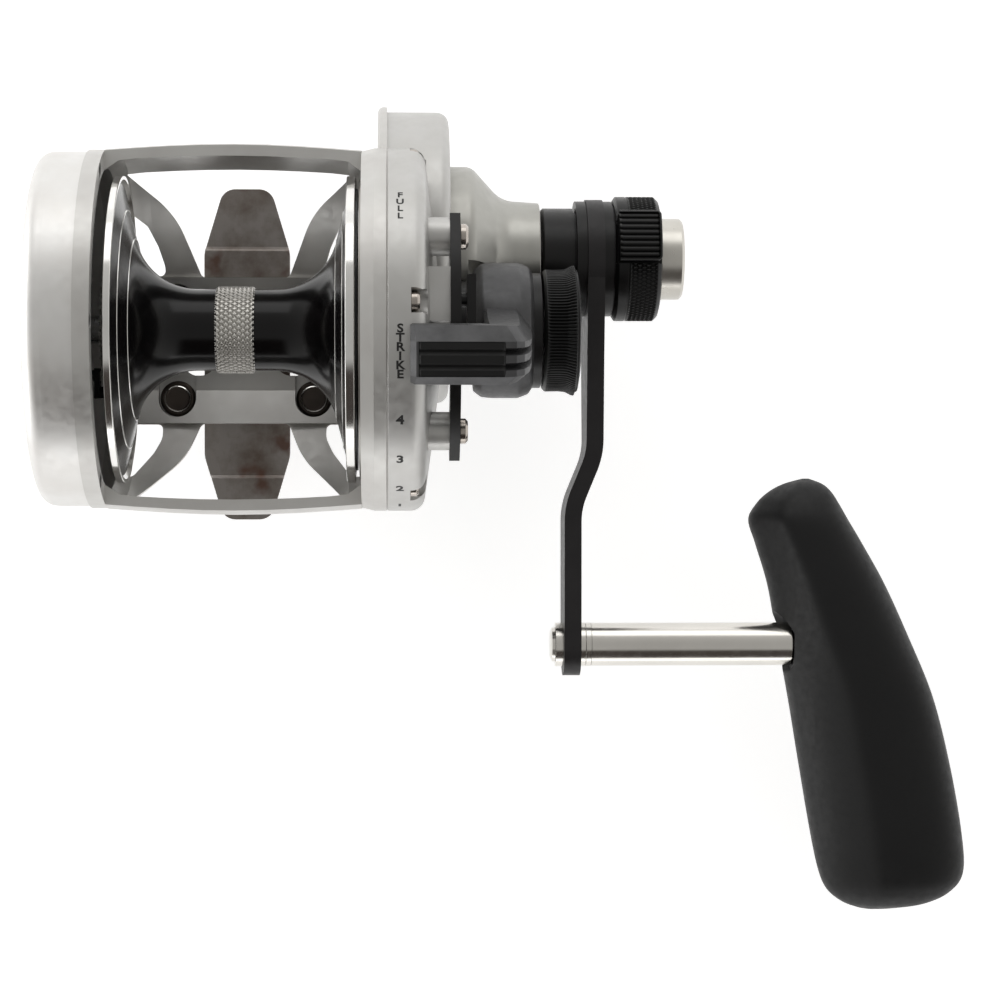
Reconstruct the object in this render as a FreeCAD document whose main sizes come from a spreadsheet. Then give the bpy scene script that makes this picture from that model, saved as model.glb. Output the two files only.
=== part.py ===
import FreeCAD, Part
import Sketcher
import math
import operator
import os

from FreeCAD import Placement, Rotation, Vector

# Two-speed lever-drag trolling reel, right-hand retrieve.
# Frame of the row: origin in the middle of the foot's underside, +X to the handle side, +Y towards the
# rod tip, +Z up. The spool turns about one line along X, the crank about a second, lower and further
# forward, and the grip about a third at the end of the crank arm.

DRIVING_SIZES = {
    "spool_forward": 4.5,          # spool axis, ahead of the middle of the foot
    "spool_height": 57.0,          # spool axis, above the foot's underside
    "handle_forward": 22.8,        # crank axis, ahead of the spool axis
    "handle_drop": 28.05,          # crank axis, below the spool axis
    "crank_length": 114.5,         # crank axis to grip axis
    "gap": 0.3,                    # between pieces that move past each other
    "running": 0.05,               # radial play of a shaft in its bore
    # spool
    "spool_left": -33.5,
    "spool_right": 34.0,
    "flange_radius": 43.6,
    "arbor_radius": 11.6,
    "arbor_fillet": 18.0,
    "band_radius": 12.3,
    "band_width": 11.0,
    "shaft_radius": 4.0,
    # frame
    "ring_bore": 45.5,
    "left_ring_from": -40.7,
    "left_ring_to": -36.1,
    "left_ring_radius": 50.7,
    "right_ring_from": 35.6,
    "right_ring_to": 42.8,
    "side_radius": 51.5,
    "ring_taper": 0.9,             # the right ring narrows by this much towards the spool
    "taper_length": 3.6,
    "seam": 0.3,                   # chamfer on both sides of a seam between two outer pieces
    "shell_inner": 48.2,
    "shell_outer": 50.9,
    "shell_swell": 1.7,
    "shell_hollow": 1.4,
    "cove": 4.0,
    "pillar_top": 12.0,
    "deck_middle": -3.8,           # middle of the deck, from the spool axis
    "deck_length": 44.0,
    "deck_top": -46.0,
    "deck_bottom": -51.0,
    "foot_top": -54.0,
    "stud_across": 41.0,
    "stud_along": 29.0,
    "stud_radius": 2.5,
    "stud_shoulder": 2.8,
    "stud_shoulder_end": -52.9,    # below the curve of the shell
    "stud_end": -76.0,
    # foot
    "foot_length": 101.0,
    "foot_width": 26.0,
    "foot_tip_width": 14.4,
    "foot_thickness": 3.0,
    "foot_tip_thickness": 1.8,
    # left side plate
    "left_face": -55.5,
    "left_radius": 50.1,
    "plate_wall": 2.5,
    # gear side cover
    "cover_face": 53.0,
    "case_face": 60.7,
    "case_radius": 42.8,
    "tower_radius": 15.0,
    "neck_radius": 16.4,
    "neck_end": 87.5,
    # gears
    "gear_module": 1.0,
    "high_teeth": 54.0,
    "high_pinion_teeth": 18.0,
    "low_teeth": 44.0,
    "low_pinion_teeth": 28.0,
    "gear_width": 4.0,
    "low_gear_from": 45.0,
    "high_gear_from": 51.0,
    "drive_shaft_radius": 6.0,
    "rod_bore": 2.5,
    # drag
    "lever_angle": 9.5,            # the lever stands this far behind upright, at strike
    "lever_hub_from": 67.3,
    "lever_hub_to": 84.0,
    "lever_hub_radius": 19.3,
    "lever_width": 15.8,
    "lever_reach": 60.0,
    "quadrant_from": 59.9,
    "quadrant_thickness": 2.9,
    "quadrant_inner": 34.4,
    "quadrant_outer": 44.5,
    "post_reach": 39.0,
    "preset_from": 86.9,
    "preset_radius": 17.4,
    "preset_lip": 18.6,
    # crank
    "collar_radius": 14.9,
    "collar_flange": 17.0,
    "arm_from": 101.2,
    "arm_thickness": 5.0,
    "arm_offset": 6.4,
    "arm_eye_radius": 17.5,
    "arm_tip_radius": 9.2,
    "drum_from": 109.3,
    "drum_to": 123.0,
    "drum_radius": 18.4,
    "button_radius": 12.0,
    "button_end": 130.0,
    # grip
    "spindle_radius": 6.4,
    "spindle_end": 186.0,
}

doc = FreeCAD.newDocument("trolling_reel")
sheet = doc.addObject("Spreadsheet::Sheet", "dims")
for row, (alias, value) in enumerate(DRIVING_SIZES.items(), start=1):
    sheet.set(f"A{row}", alias.replace("_", " "))
    sheet.set(f"B{row}", str(value))
    sheet.setAlias(f"B{row}", alias)
doc.recompute()


class Size:
    """A number that keeps the sheet formula it comes from."""

    SIGNS = {"+": operator.add, "-": operator.sub, "*": operator.mul, "/": operator.truediv}

    def __init__(self, value, formula):
        self.value = float(value)
        self.formula = formula

    def joined(self, other, sign, swap=False):
        other = size(other)
        first, second = (other, self) if swap else (self, other)
        value = self.SIGNS[sign](first.value, second.value)
        return Size(value, f"({first.formula} {sign} {second.formula})")

    def __add__(self, other):
        return self.joined(other, "+")

    def __radd__(self, other):
        return self.joined(other, "+", swap=True)

    def __sub__(self, other):
        return self.joined(other, "-")

    def __rsub__(self, other):
        return self.joined(other, "-", swap=True)

    def __mul__(self, other):
        return self.joined(other, "*")

    def __rmul__(self, other):
        return self.joined(other, "*", swap=True)

    def __truediv__(self, other):
        return self.joined(other, "/")

    def __neg__(self):
        return 0 - self


def size(number):
    return number if isinstance(number, Size) else Size(number, f"{float(number):.6f}")


class Driving:
    """The sheet's cells as attributes."""

    def __getattr__(self, alias):
        return Size(DRIVING_SIZES[alias], f"dims.{alias}")


D = Driving()

# A line along X is given by its place across the reel: (Y, Z).
SPOOL = (D.spool_forward, D.spool_height)
HANDLE = (SPOOL[0] + D.handle_forward, SPOOL[1] - D.handle_drop)
KNOB = (HANDLE[0] - D.crank_length, HANDLE[1])

ALONG_X = Rotation(Vector(0, 1, 0), 90)        # a turned piece's own Z axis lies along X
SIDE_VIEW = Rotation(Vector(1, 1, 1), 120)     # an outline drawn across X: its x is Y, its y is Z
FRONT_VIEW = Rotation(Vector(1, 0, 0), 90)     # an outline drawn in X and Z, pushed towards -Y
TOP_VIEW = Rotation()


def bind(piece, name, value):
    piece.setExpression(name, size(value).formula)


def place(piece, at, rotation=TOP_VIEW):
    x, y, z = (size(number) for number in at)
    piece.Placement = Placement(Vector(x.value, y.value, z.value), rotation)
    for letter, number in zip("xyz", (x, y, z)):
        bind(piece, f".Placement.Base.{letter}", number)


def draw(body, plane_role, outline):
    """A closed outline of straight runs, each corner held at its two distances from the origin."""
    plane = next(item for item in body.Origin.OriginFeatures if item.Role == plane_role)
    sketch = body.newObject("Sketcher::SketchObject", body.Name + "_sketch")
    sketch.AttachmentSupport = [(plane, "")]
    sketch.MapMode = "FlatFace"
    corners = [(size(x), size(y)) for x, y in outline]
    points = [Vector(x.value, y.value, 0) for x, y in corners]
    runs = [Part.LineSegment(point, points[(i + 1) % len(points)]) for i, point in enumerate(points)]
    sketch.addGeometry(runs, False)
    for i in range(len(runs)):
        sketch.addConstraint(Sketcher.Constraint("Coincident", i, 2, (i + 1) % len(runs), 1))
    for i, (x, y) in enumerate(corners):
        for kind, number, axis in (("DistanceX", x, -2), ("DistanceY", y, -1)):
            if abs(number.value) < 1e-9:
                sketch.addConstraint(Sketcher.Constraint("PointOnObject", i, 1, axis))
                continue
            index = sketch.addConstraint(Sketcher.Constraint(kind, -1, 1, i, 1, number.value))
            sketch.setExpression(f"Constraints[{index}]", number.formula)
    return sketch


def new_body(name):
    body = doc.addObject("PartDesign::Body", name)
    body.Label = name
    return body


def turned(name, axis, start, outline, angle=360.0, first_angle=0.0):
    """A piece turned about a line along X; its outline is (distance along from start, radius)."""
    body = new_body(name)
    sketch = draw(body, "XZ_Plane", [(radius, along) for along, radius in outline])
    turn = body.newObject("PartDesign::Revolution", name + "_turn")
    turn.Profile = sketch
    turn.ReferenceAxis = (sketch, ["V_Axis"])
    turn.Angle = angle
    body.Tip = turn
    place(body, (start, *axis), ALONG_X * Rotation(Vector(0, 0, 1), first_angle))
    return body


def prism(name, outline, depth, at=(0, 0, 0), view=TOP_VIEW):
    """A straight-sided piece with its outline in one of the three views."""
    body = new_body(name)
    sketch = draw(body, "XY_Plane", outline)
    pad = body.newObject("PartDesign::Pad", name + "_pad")
    pad.Profile = sketch
    pad.Length = size(depth).value
    bind(pad, "Length", depth)
    body.Tip = pad
    place(body, at, view)
    return body


def soften(body, radius, wanted):
    """Round the edges of a body's tip that the test picks out."""
    doc.recompute()
    base = body.Tip
    picked = [f"Edge{i}" for i, edge in enumerate(base.Shape.Edges, start=1) if wanted(edge)]
    fillet = body.newObject("PartDesign::Fillet", body.Name + f"_round{len(body.Group)}")
    fillet.Base = (base, picked)
    fillet.Radius = size(radius).value
    bind(fillet, "Radius", radius)
    body.Tip = fillet
    return body


def is_ring(radius, along):
    """Test for the circle of a turned piece at this radius and distance along it."""
    radius, along = size(radius).value, size(along).value

    def test(edge):
        curve = edge.Curve
        if not isinstance(curve, Part.Circle):
            return False
        return abs(curve.Radius - radius) < 1e-4 and abs(curve.Center.z - along) < 1e-4

    return test


def is_corner(*corners):
    """Test for the straight edges of a prism at these corners of its outline."""
    spots = [(size(x).value, size(y).value) for x, y in corners]

    def test(edge):
        if not isinstance(edge.Curve, Part.Line):
            return False
        ends = [vertex.Point for vertex in edge.Vertexes]
        return any(all(abs(end.x - x) < 1e-4 and abs(end.y - y) < 1e-4 for end in ends) for x, y in spots)

    return test


def cylinder(name, axis, start, length, radius):
    rod = doc.addObject("Part::Cylinder", name)
    bind(rod, "Radius", radius)
    bind(rod, "Height", length)
    place(rod, (start, *axis), ALONG_X)
    return rod


def upright(name, at, length, radius):
    rod = doc.addObject("Part::Cylinder", name)
    bind(rod, "Radius", radius)
    bind(rod, "Height", length)
    place(rod, at)
    return rod


def block(name, lengths, at):
    box = doc.addObject("Part::Box", name)
    for side, number in zip(("Length", "Width", "Height"), lengths):
        bind(box, side, number)
    place(box, at)
    return box


def fuse(name, pieces):
    joined = doc.addObject("Part::MultiFuse", name)
    joined.Shapes = pieces
    return joined


def cut(name, base, tools):
    removed = tools[0] if len(tools) == 1 else fuse(name + "_removed", tools)
    result = doc.addObject("Part::Cut", name)
    result.Base = base
    result.Tool = removed
    return result


def common(name, first, second):
    shared = doc.addObject("Part::MultiCommon", name)
    shared.Shapes = [first, second]
    return shared


def group(name, pieces):
    """Identical pieces that share one node, as separate solids."""
    bundle = doc.addObject("Part::Compound", name)
    bundle.Links = pieces
    return bundle


def about(axis, reach, degrees):
    """Point across X at a reach from a line, this many degrees behind straight up."""
    angle = math.radians(degrees)
    return (axis[0] - size(reach) * math.sin(angle), axis[1] + size(reach) * math.cos(angle))


def tube(name, axis, start, length, outer, inner):
    length = size(length)
    return turned(name, axis, start, [(0, inner), (0, outer), (length, outer), (length, inner)])


def ball_bearing(name, axis, start, width, outer, inner):
    """Two races with a shielded groove between them on both faces."""
    inner, outer, width = size(inner), size(outer), size(width)
    wall = (outer - inner) / 4
    shield = 0.4
    outline = [(0, inner), (0, inner + wall), (shield, inner + wall), (shield, outer - wall),
               (0, outer - wall), (0, outer), (width, outer), (width, outer - wall),
               (width - shield, outer - wall), (width - shield, inner + wall), (width, inner + wall),
               (width, inner)]
    return turned(name, axis, start, outline)


def cap_screw(name, axis, start, head_height, head_radius, shank_length, shank_radius, faces_right=True):
    """A socket-head screw: its head stands at start, its shank points away from the way it faces."""
    socket = head_radius * 0.5
    outline = [(-shank_length, 0), (-shank_length, shank_radius), (0, shank_radius), (0, head_radius),
               (head_height, head_radius), (head_height, socket), (head_height * 0.4, socket),
               (head_height * 0.4, 0)]
    if not faces_right:
        outline = [(-along, radius) for along, radius in reversed(outline)]
    return turned(name, axis, start, outline)


# --- frame ---------------------------------------------------------------------------------------


def make_frame():
    """One machined piece: two rings, two pillars, four legs, the deck and the gear case flange."""
    y, z = SPOOL
    left_ring = tube("frame_left_ring", SPOOL, D.left_ring_from, D.left_ring_to - D.left_ring_from,
                     D.left_ring_radius, D.ring_bore)
    depth = D.right_ring_to - D.right_ring_from
    right_ring = turned("frame_right_ring", SPOOL, D.right_ring_from, [
        (0, D.ring_bore), (0, D.side_radius - D.ring_taper), (D.taper_length, D.side_radius),
        (depth - D.seam, D.side_radius), (depth, D.side_radius - D.seam), (depth, D.ring_bore)])
    flange_radius, flange_depth = D.case_radius + 1.5, 2.7
    flange_disc = turned("flange_disc", HANDLE, D.right_ring_to - flange_depth, [
        (0, 0), (0, flange_radius), (flange_depth, flange_radius), (flange_depth, 0)])
    soften(flange_disc, 1.6, is_ring(flange_radius, 0))
    flange_bore = cylinder("flange_bore", SPOOL, D.right_ring_from, 20, D.ring_bore)
    flange = cut("frame_flange", flange_disc, [flange_bore])

    span = D.right_ring_from - D.left_ring_to
    swell = [(span * step / 8, D.shell_outer + D.shell_swell * math.sin(math.pi * step / 8))
             for step in range(9)]
    hollow = [(span * step / 8, D.shell_inner + D.shell_hollow * math.sin(math.pi * step / 8))
              for step in range(7, 0, -1)]
    shell = turned("frame_shell", SPOOL, D.left_ring_to, [
        (0, D.ring_bore), *swell, (span, D.ring_bore), (span - D.cove, D.shell_inner), *hollow,
        (D.cove, D.shell_inner)])

    reach = 60
    above = block("above_pillars", (2 * reach, 2 * reach, reach), (-reach, y - reach, z + D.pillar_top))
    front_edge = D.deck_middle + D.deck_length / 2
    rear_edge = D.deck_middle - D.deck_length / 2
    windows = [above]
    for label, edge, way, top in (("front", front_edge, 1, -15.0), ("rear", rear_edge, -1, -7.0)):
        windows.append(leg_window(label, edge, way, (0, y, z + top - reach), reach))
        for side in (-1, 1):
            windows.append(leg_slit(label, side, edge, way, (0, y, z - reach - 15), reach))
    basket = cut("frame_basket", shell, windows)

    deck_outline = [(rear_edge, -40.2), (D.deck_middle - 12, D.deck_top), (D.deck_middle + 12, D.deck_top),
                    (front_edge, -43.9), (front_edge, -49.4), (D.deck_middle + 14, D.deck_bottom),
                    (D.deck_middle - 20.5, D.deck_bottom), (rear_edge, -49.6)]
    deck = prism("frame_deck", deck_outline, span, (D.left_ring_to, y, z), SIDE_VIEW)
    middle = y + D.deck_middle
    pad = block("foot_pad", (28, 30, D.deck_bottom - D.foot_top), (-14, middle - 15, z + D.foot_top))

    removed = []
    for side in (-1, 1):
        corners = [(OPENING_ACROSS * side + across, along) for across, along in OPENING_CORNERS]
        opening = prism(f"deck_opening_{side + 1}", corners, 20, (0, middle, z - 60))
        removed.append(soften(opening, 4.6, is_corner(*corners)))
        for way in (-1, 1):
            centre = (D.stud_across * 0.5 * side, middle + D.stud_along * 0.5 * way)
            floor = z + D.deck_top - POCKET_DEPTH
            low = centre[1] if way < 0 else middle + 7
            name = f"stud_pocket_{side + 1}{way + 1}"
            removed.append(upright(name, (*centre, floor), 12, POCKET_RADIUS))
            mouth_at = (centre[0] - POCKET_RADIUS, low, floor)
            removed.append(block(name + "_mouth", (2 * POCKET_RADIUS, 7.6, 12), mouth_at))
            removed.append(upright(name + "_hole", (*centre, z - 70), 30, D.stud_shoulder))
    for i, (x, along) in enumerate(FOOT_SCREWS):
        removed.append(upright(f"foot_screw_hole_{i}", (x, middle + along, z - 60), 12, 1.5))
    for i, degrees in enumerate(COVER_SCREWS):
        removed.append(cylinder(f"cover_screw_hole_{i}", about(SPOOL, COVER_REACH, degrees), 36.5, 10, 1.5))
    for i, degrees in enumerate(LEFT_SCREWS):
        spot = about(SPOOL, LEFT_REACH, degrees)
        removed.append(cylinder(f"left_screw_hole_{i}", spot, -42, 10, 1.25))
        removed.append(cylinder(f"left_screw_seat_{i}", spot, D.left_ring_to - 1.8, 8, 2.3))
    whole = fuse("frame_whole", [left_ring, right_ring, flange, basket, deck, pad])
    return cut("frame", whole, removed)


OPENING_ACROSS = 14.0
OPENING_CORNERS = [(-5, -7.5), (5, -7.5), (5, 7.5), (-5, 7.5)]

# Corners of the open spaces beside the right-hand legs, as distance from the middle and from the deck.
WINDOW_CORNERS = {
    "front": [(13.1, 0.0), (20.4, 18.2), (33.2, 28.0)],
    "rear": [(13.1, 0.0), (17.4, 10.6), (33.2, 25.2)],
}
SLIT_CORNERS = {
    "front": [(36.4, 0.4), (24.0, 0.4), (24.0, 3.2), (25.8, 9.0), (28.6, 14.6), (36.4, 20.4)],
    "rear": [(36.4, 0.4), (24.5, 0.4), (24.4, 4.6), (26.6, 9.0), (32.0, 16.0), (36.4, 16.0)],
}


def leg_window(label, edge, way, at, depth):
    """The open space between two legs, from the deck's edge out past the pillar, with curved sides."""
    foot, waist, end = WINDOW_CORNERS[label]
    half = [foot, waist, end, (end[0], 50.0)]
    right = [(across, edge + way * along) for across, along in half]
    left = [(-across, edge + way * along) for across, along in reversed(half)]
    window = prism(f"{label}_window", right + left, depth, at)
    for radius, (across, along) in ((2.4, foot), (22.0, waist)):
        corners = [(side * across, edge + way * along) for side in (-1, 1)]
        soften(window, radius, is_corner(*corners))
    return window


def leg_slit(label, side, edge, way, at, depth):
    """The narrow opening between a leg and the ring beside it."""
    placed = [(side * across, edge + way * along) for across, along in SLIT_CORNERS[label]]
    slit = prism(f"{label}_slit_{'left' if side < 0 else 'right'}", placed, depth, at)
    soften(slit, 1.6, is_corner(placed[1]))
    soften(slit, 2.0, is_corner(placed[4]))
    return soften(slit, 6.0, is_corner(*placed[2:4]))


POCKET_DEPTH, POCKET_RADIUS = 2.6, 5.6
FOOT_SCREWS = [(side * 8.0, way * 11.0) for side in (-1, 1) for way in (-1, 1)]
COVER_SCREWS, COVER_REACH = [-78, -6, 66, 138], 48.5
LEFT_SCREWS, LEFT_REACH = [0, 62, -62, 136.7, -144.4], 48.1


def make_foot():
    """The seat plate: full width in the middle, tapering to rounded, thinner tips."""
    half, tip, middle = D.foot_length / 2, D.foot_tip_width / 2, D.foot_width / 2
    shoulder = 31.2
    outline = [(tip, -half), (middle, -shoulder), (middle, shoulder), (tip, half)]
    outline += [(-across, along) for across, along in reversed(outline)]
    plan = prism("foot_plan", outline, D.foot_thickness)
    soften(plan, 4.8, is_corner(*[(side * tip, way * half) for side in (-1, 1) for way in (-1, 1)]))
    soften(plan, 10.0, is_corner(*[(side * middle, way * shoulder) for side in (-1, 1) for way in (-1, 1)]))
    bottom, thin, thick = 0, D.foot_tip_thickness, D.foot_thickness
    front_ramp, rear_ramp, ramp = 31.8, -36.8, 1.1
    side = prism("foot_side", [
        (-half, bottom), (half, bottom), (half, thin), (front_ramp + ramp, thin), (front_ramp, thick),
        (rear_ramp, thick), (rear_ramp - ramp, thin), (-half, thin)], 40, (-20, 0, 0), SIDE_VIEW)
    soften(side, 1.0, is_corner((front_ramp, thick), (rear_ramp, thick)))
    blank = common("foot_blank", plan, side)
    holes = []
    for i, (x, along) in enumerate(FOOT_SCREWS):
        spot = (x, D.spool_forward + D.deck_middle + along)
        holes.append(upright(f"foot_hole_{i}", (*spot, -1), 6, 1.5))
        holes.append(upright(f"foot_sink_{i}", (*spot, -1), 2.6, 2.9))
    return cut("foot", blank, holes)


def make_foot_screws():
    screws = []
    for i, (x, along) in enumerate(FOOT_SCREWS):
        spot = (x, D.spool_forward + D.deck_middle + along)
        head = upright(f"foot_screw_head_{i}", (*spot, 0.2), 1.4, 2.9)
        shank = upright(f"foot_screw_shank_{i}", (*spot, 1.6), 7.4, 1.5)
        socket = upright(f"foot_screw_socket_{i}", (*spot, -1), 2, 1.3)
        screws.append(cut(f"foot_screw_{i}", fuse(f"foot_screw_blank_{i}", [head, shank]), [socket]))
    return group("foot_screws", screws)


def make_clamp_studs():
    """Four round-headed studs in the deck's pockets, standing down on both sides of the rod."""
    y, z = SPOOL
    studs = []
    floor = z + D.deck_top - POCKET_DEPTH
    shoulder_end, end = z + D.stud_shoulder_end, z + D.stud_end
    for i, (side, way) in enumerate(((-1, -1), (-1, 1), (1, -1), (1, 1))):
        spot = (D.stud_across * 0.5 * side, y + D.deck_middle + D.stud_along * 0.5 * way)
        head = upright(f"stud_head_{i}", (*spot, floor), 3.0, 4.0)
        shoulder = upright(f"stud_shoulder_{i}", (*spot, shoulder_end), floor - shoulder_end,
                           D.stud_shoulder)
        shank = upright(f"stud_shank_{i}", (*spot, end), shoulder_end - end, D.stud_radius)
        studs.append(fuse(f"stud_{i}", [head, shoulder, shank]))
    return group("clamp_studs", studs)


# --- left side -----------------------------------------------------------------------------------

CLICKER_AT = (SPOOL[0] - 13.0, SPOOL[1] + 0.0)


def make_left_side_plate():
    """A shallow cup over the click mechanism, with the bearing of the spool shaft in its middle."""
    depth = D.left_ring_from - D.left_face
    wall = D.plate_wall
    outline = [(0, 0), (0, 30), (0.9, D.left_radius - 0.3), (6.2, D.left_radius), (depth, D.left_radius),
               (depth, D.ring_bore), (8.0, D.ring_bore), (wall + 1.0, D.ring_bore - 3.0), (wall, 30),
               (wall, 7.0), (wall + 7.0, 7.0), (wall + 7.0, D.shaft_radius + D.running),
               (wall + 0.6, D.shaft_radius + D.running), (wall + 0.6, 0)]
    cup = turned("left_cup", SPOOL, D.left_face, outline)
    soften(cup, 4.2, is_ring(D.left_radius - 0.3, 0.9))
    click_y, click_z = CLICKER_AT
    slot = block("clicker_slot", (4, 8.4, 3.8), (D.left_face - 0.5, click_y - 2.1, click_z - 1.9))
    holes = [cylinder(f"left_plate_hole_{i}", about(SPOOL, LEFT_REACH, degrees), -47.2, 8, 1.25)
             for i, degrees in enumerate(LEFT_SCREWS)]
    return cut("left_side_plate", cup, [slot, *holes])


def make_left_plate_screws():
    return group("left_plate_screws", [
        cap_screw(f"left_screw_{i}", about(SPOOL, LEFT_REACH, degrees), D.left_ring_to - 1.8, 1.6, 2.2,
                  9.0, 1.25)
        for i, degrees in enumerate(LEFT_SCREWS)])


def make_clicker_button():
    """A thin disc with a domed middle on the left face, on a stem through the slot."""
    stem_radius, stem_end = 1.6, 18.6
    outline = [(-2.0, 0), (-2.0, 2.4), (-1.2, 3.5), (0, 4.2), (0, 10.4), (0.5, 11.0), (1.2, 11.0),
               (1.2, stem_radius), (stem_end, stem_radius), (stem_end, 0)]
    return turned("clicker_button", CLICKER_AT, D.left_face - 1.5, outline)


def make_click_tongue():
    """A finger on the clicker's stem that drops between the click wheel's teeth."""
    y, z = CLICKER_AT
    start = D.left_face + 15.3
    foot = block("tongue_foot", (1.6, 8.5, 4.0), (start, y - 6.5, z - 2.0))
    finger = prism("tongue_finger", [(-6.5, -0.9), (-4.6, -0.9), (-3.2, 0), (-4.6, 0.9), (-6.5, 0.9)], 4.4,
                   (start, y, z), SIDE_VIEW)
    hole = cylinder("tongue_hole", CLICKER_AT, start - 1, 4, 1.6)
    return cut("click_tongue", fuse("tongue_blank", [foot, finger]), [hole])


def toothed_wheel(name, axis, start, width, teeth, tip, root, bore, lean, first_degrees=0.0):
    """A ratchet wheel: straight teeth that lean one way by a share of their pitch."""
    tip, root = size(tip).value, size(root).value
    pitch = 2 * math.pi / teeth
    first = math.radians(first_degrees)
    points = []
    for tooth in range(teeth):
        middle = first + tooth * pitch
        for radius, share in ((root, -0.34), (tip, -0.12 + lean), (tip, 0.12 + lean), (root, 0.34)):
            angle = middle + share * pitch
            points.append(Vector(radius * math.cos(angle), radius * math.sin(angle), 0))
    face = Part.Face(Part.makePolygon(points + points[:1]))
    width, start = size(width).value, size(start).value
    solid = face.extrude(Vector(0, 0, width))
    solid = solid.cut(Part.makeCylinder(size(bore).value, width))
    return as_feature(name, solid, axis, start)


def as_feature(name, solid, axis, start):
    feature = doc.addObject("Part::Feature", name)
    feature.Shape = solid
    place(feature, (start, *axis), ALONG_X)
    return feature


# --- spool ---------------------------------------------------------------------------------------

HUB_END = -37.6                # where the spool's left hub, and the click wheel on it, end
BEARING_RADIUS = 8.5           # of both spool bearings


def make_spool():
    """Narrow arbor, dished flanges with square bright rims, and a seat for a bearing at each end."""
    left, right = D.spool_left, D.spool_right
    hub_end, left_seat = HUB_END - left, -33.3 - left
    right_lip, right_face, right_seat = 31.4 - left, 33.0 - left, 29.4 - left
    foot, other_foot = 24.9 - left, -24.9 - left
    bore, seat = 6.0, BEARING_RADIUS
    rim, lip, dish = D.flange_radius, 42.4, 41.4
    outline = [(hub_end, seat), (hub_end, 10.0), (-2.0, 10.0), (-0.2, 16.0), (0.8, 36.0), (0, 38.0),
               (0, rim), (2.1, rim), (2.1, lip), (1.1, dish), (other_foot, D.arbor_radius),
               (foot, D.arbor_radius), (right_lip + 1.0, dish), (right_lip, lip), (right_lip, rim),
               (right - left, rim), (right - left, 41.0), (right_face, 40.6), (right_face, seat),
               (right_seat, seat), (right_seat, bore), (left_seat, bore), (left_seat, seat)]
    spool = turned("spool", SPOOL, left, outline)
    soften(spool, D.arbor_fillet, lambda edge: is_ring(D.arbor_radius, foot)(edge)
           or is_ring(D.arbor_radius, other_foot)(edge))
    return spool


def make_spool_parts():
    shaft_fit = D.shaft_radius + D.running
    return [
        tube("arbor_band", SPOOL, D.band_width * -0.5 - 0.1, D.band_width, D.band_radius, D.arbor_radius),
        ball_bearing("left_spool_bearing", SPOOL, -37.4, 4, BEARING_RADIUS, shaft_fit),
        ball_bearing("right_spool_bearing", SPOOL, 29.4, 3.5, BEARING_RADIUS, shaft_fit),
        toothed_wheel("click_wheel", SPOOL, HUB_END, 1.9, 24, 14.2, 11.8, 10.0, 0.0, first_degrees=-82.5),
        tube("drag_washer", SPOOL, 33.0, 1.6, 40.0, 20.0),
    ]


def make_spool_shaft():
    """The shaft the spool turns on; the drag lever draws it along, and its right end is threaded."""
    radius = D.shaft_radius
    outline = [(0, 0), (0, radius - 0.5), (0.5, radius), (145.0, radius), (146.0, radius - 1.0), (146.0, 0)]
    return turned("spool_shaft", SPOOL, -51.5, outline)


# --- gears ---------------------------------------------------------------------------------------

PRESSURE_ANGLE = math.radians(20)
BACKLASH = 0.16
SLEEVE_RADIUS = 6.5            # of the drive plate's sleeve, which carries both pinions


def involute(angle):
    return math.tan(angle) - angle


def gear_outline(teeth, module, first_angle):
    """One closed wire: each flank an arc through three points of its involute."""
    pitch_radius = teeth * module / 2
    base = pitch_radius * math.cos(PRESSURE_ANGLE)
    tip, root = pitch_radius + 0.95 * module, pitch_radius - 1.25 * module
    half_tooth = math.pi / (2 * teeth) - BACKLASH / (2 * pitch_radius) + involute(PRESSURE_ANGLE)

    def flank(radius, side, middle):
        spread = half_tooth - involute(math.acos(min(1.0, base / radius)))
        angle = middle + side * spread
        return Vector(radius * math.cos(angle), radius * math.sin(angle), 0)

    start = max(base, root)
    edges = []
    last = None
    for tooth in range(teeth):
        middle = first_angle + 2 * math.pi * tooth / teeth
        spread = half_tooth - involute(math.acos(min(1.0, base / start)))
        low = Vector(root * math.cos(middle - spread), root * math.sin(middle - spread), 0)
        high = Vector(root * math.cos(middle + spread), root * math.sin(middle + spread), 0)
        rise = [flank(radius, -1, middle) for radius in (start, (start + tip) / 2, tip)]
        fall = [flank(radius, 1, middle) for radius in (tip, (start + tip) / 2, start)]
        if last:
            edges.append(Part.makeLine(last, low))
        else:
            first = low
        if start > root:
            edges.append(Part.makeLine(low, rise[0]))
        edges.append(Part.Arc(*rise).toShape())
        edges.append(Part.makeLine(rise[2], fall[0]))
        edges.append(Part.Arc(*fall).toShape())
        if start > root:
            edges.append(Part.makeLine(fall[2], high))
        last = high
    edges.append(Part.makeLine(last, first))
    return Part.Wire(edges)


def spur_gear(name, axis, start, width, teeth, bore, toothed_towards, gap_there=False, webbed=False):
    """A spur gear with a tooth, or a gap, on the line of centres."""
    teeth = int(size(teeth).value)
    width = size(width).value
    angle = math.radians(toothed_towards + (180.0 / teeth if gap_there else 0.0))
    solid = Part.Face(gear_outline(teeth, D.gear_module.value, angle)).extrude(Vector(0, 0, width))
    solid = solid.cut(Part.makeCylinder(size(bore).value, width))
    pitch_radius = teeth * D.gear_module.value / 2
    if webbed:
        web = Part.makeCylinder(pitch_radius - 4, 1).cut(Part.makeCylinder(11, 1))
        for height in (0, width - 1):
            solid = solid.cut(web.translated(Vector(0, 0, height)))
    return as_feature(name, solid, axis, start)


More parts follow.
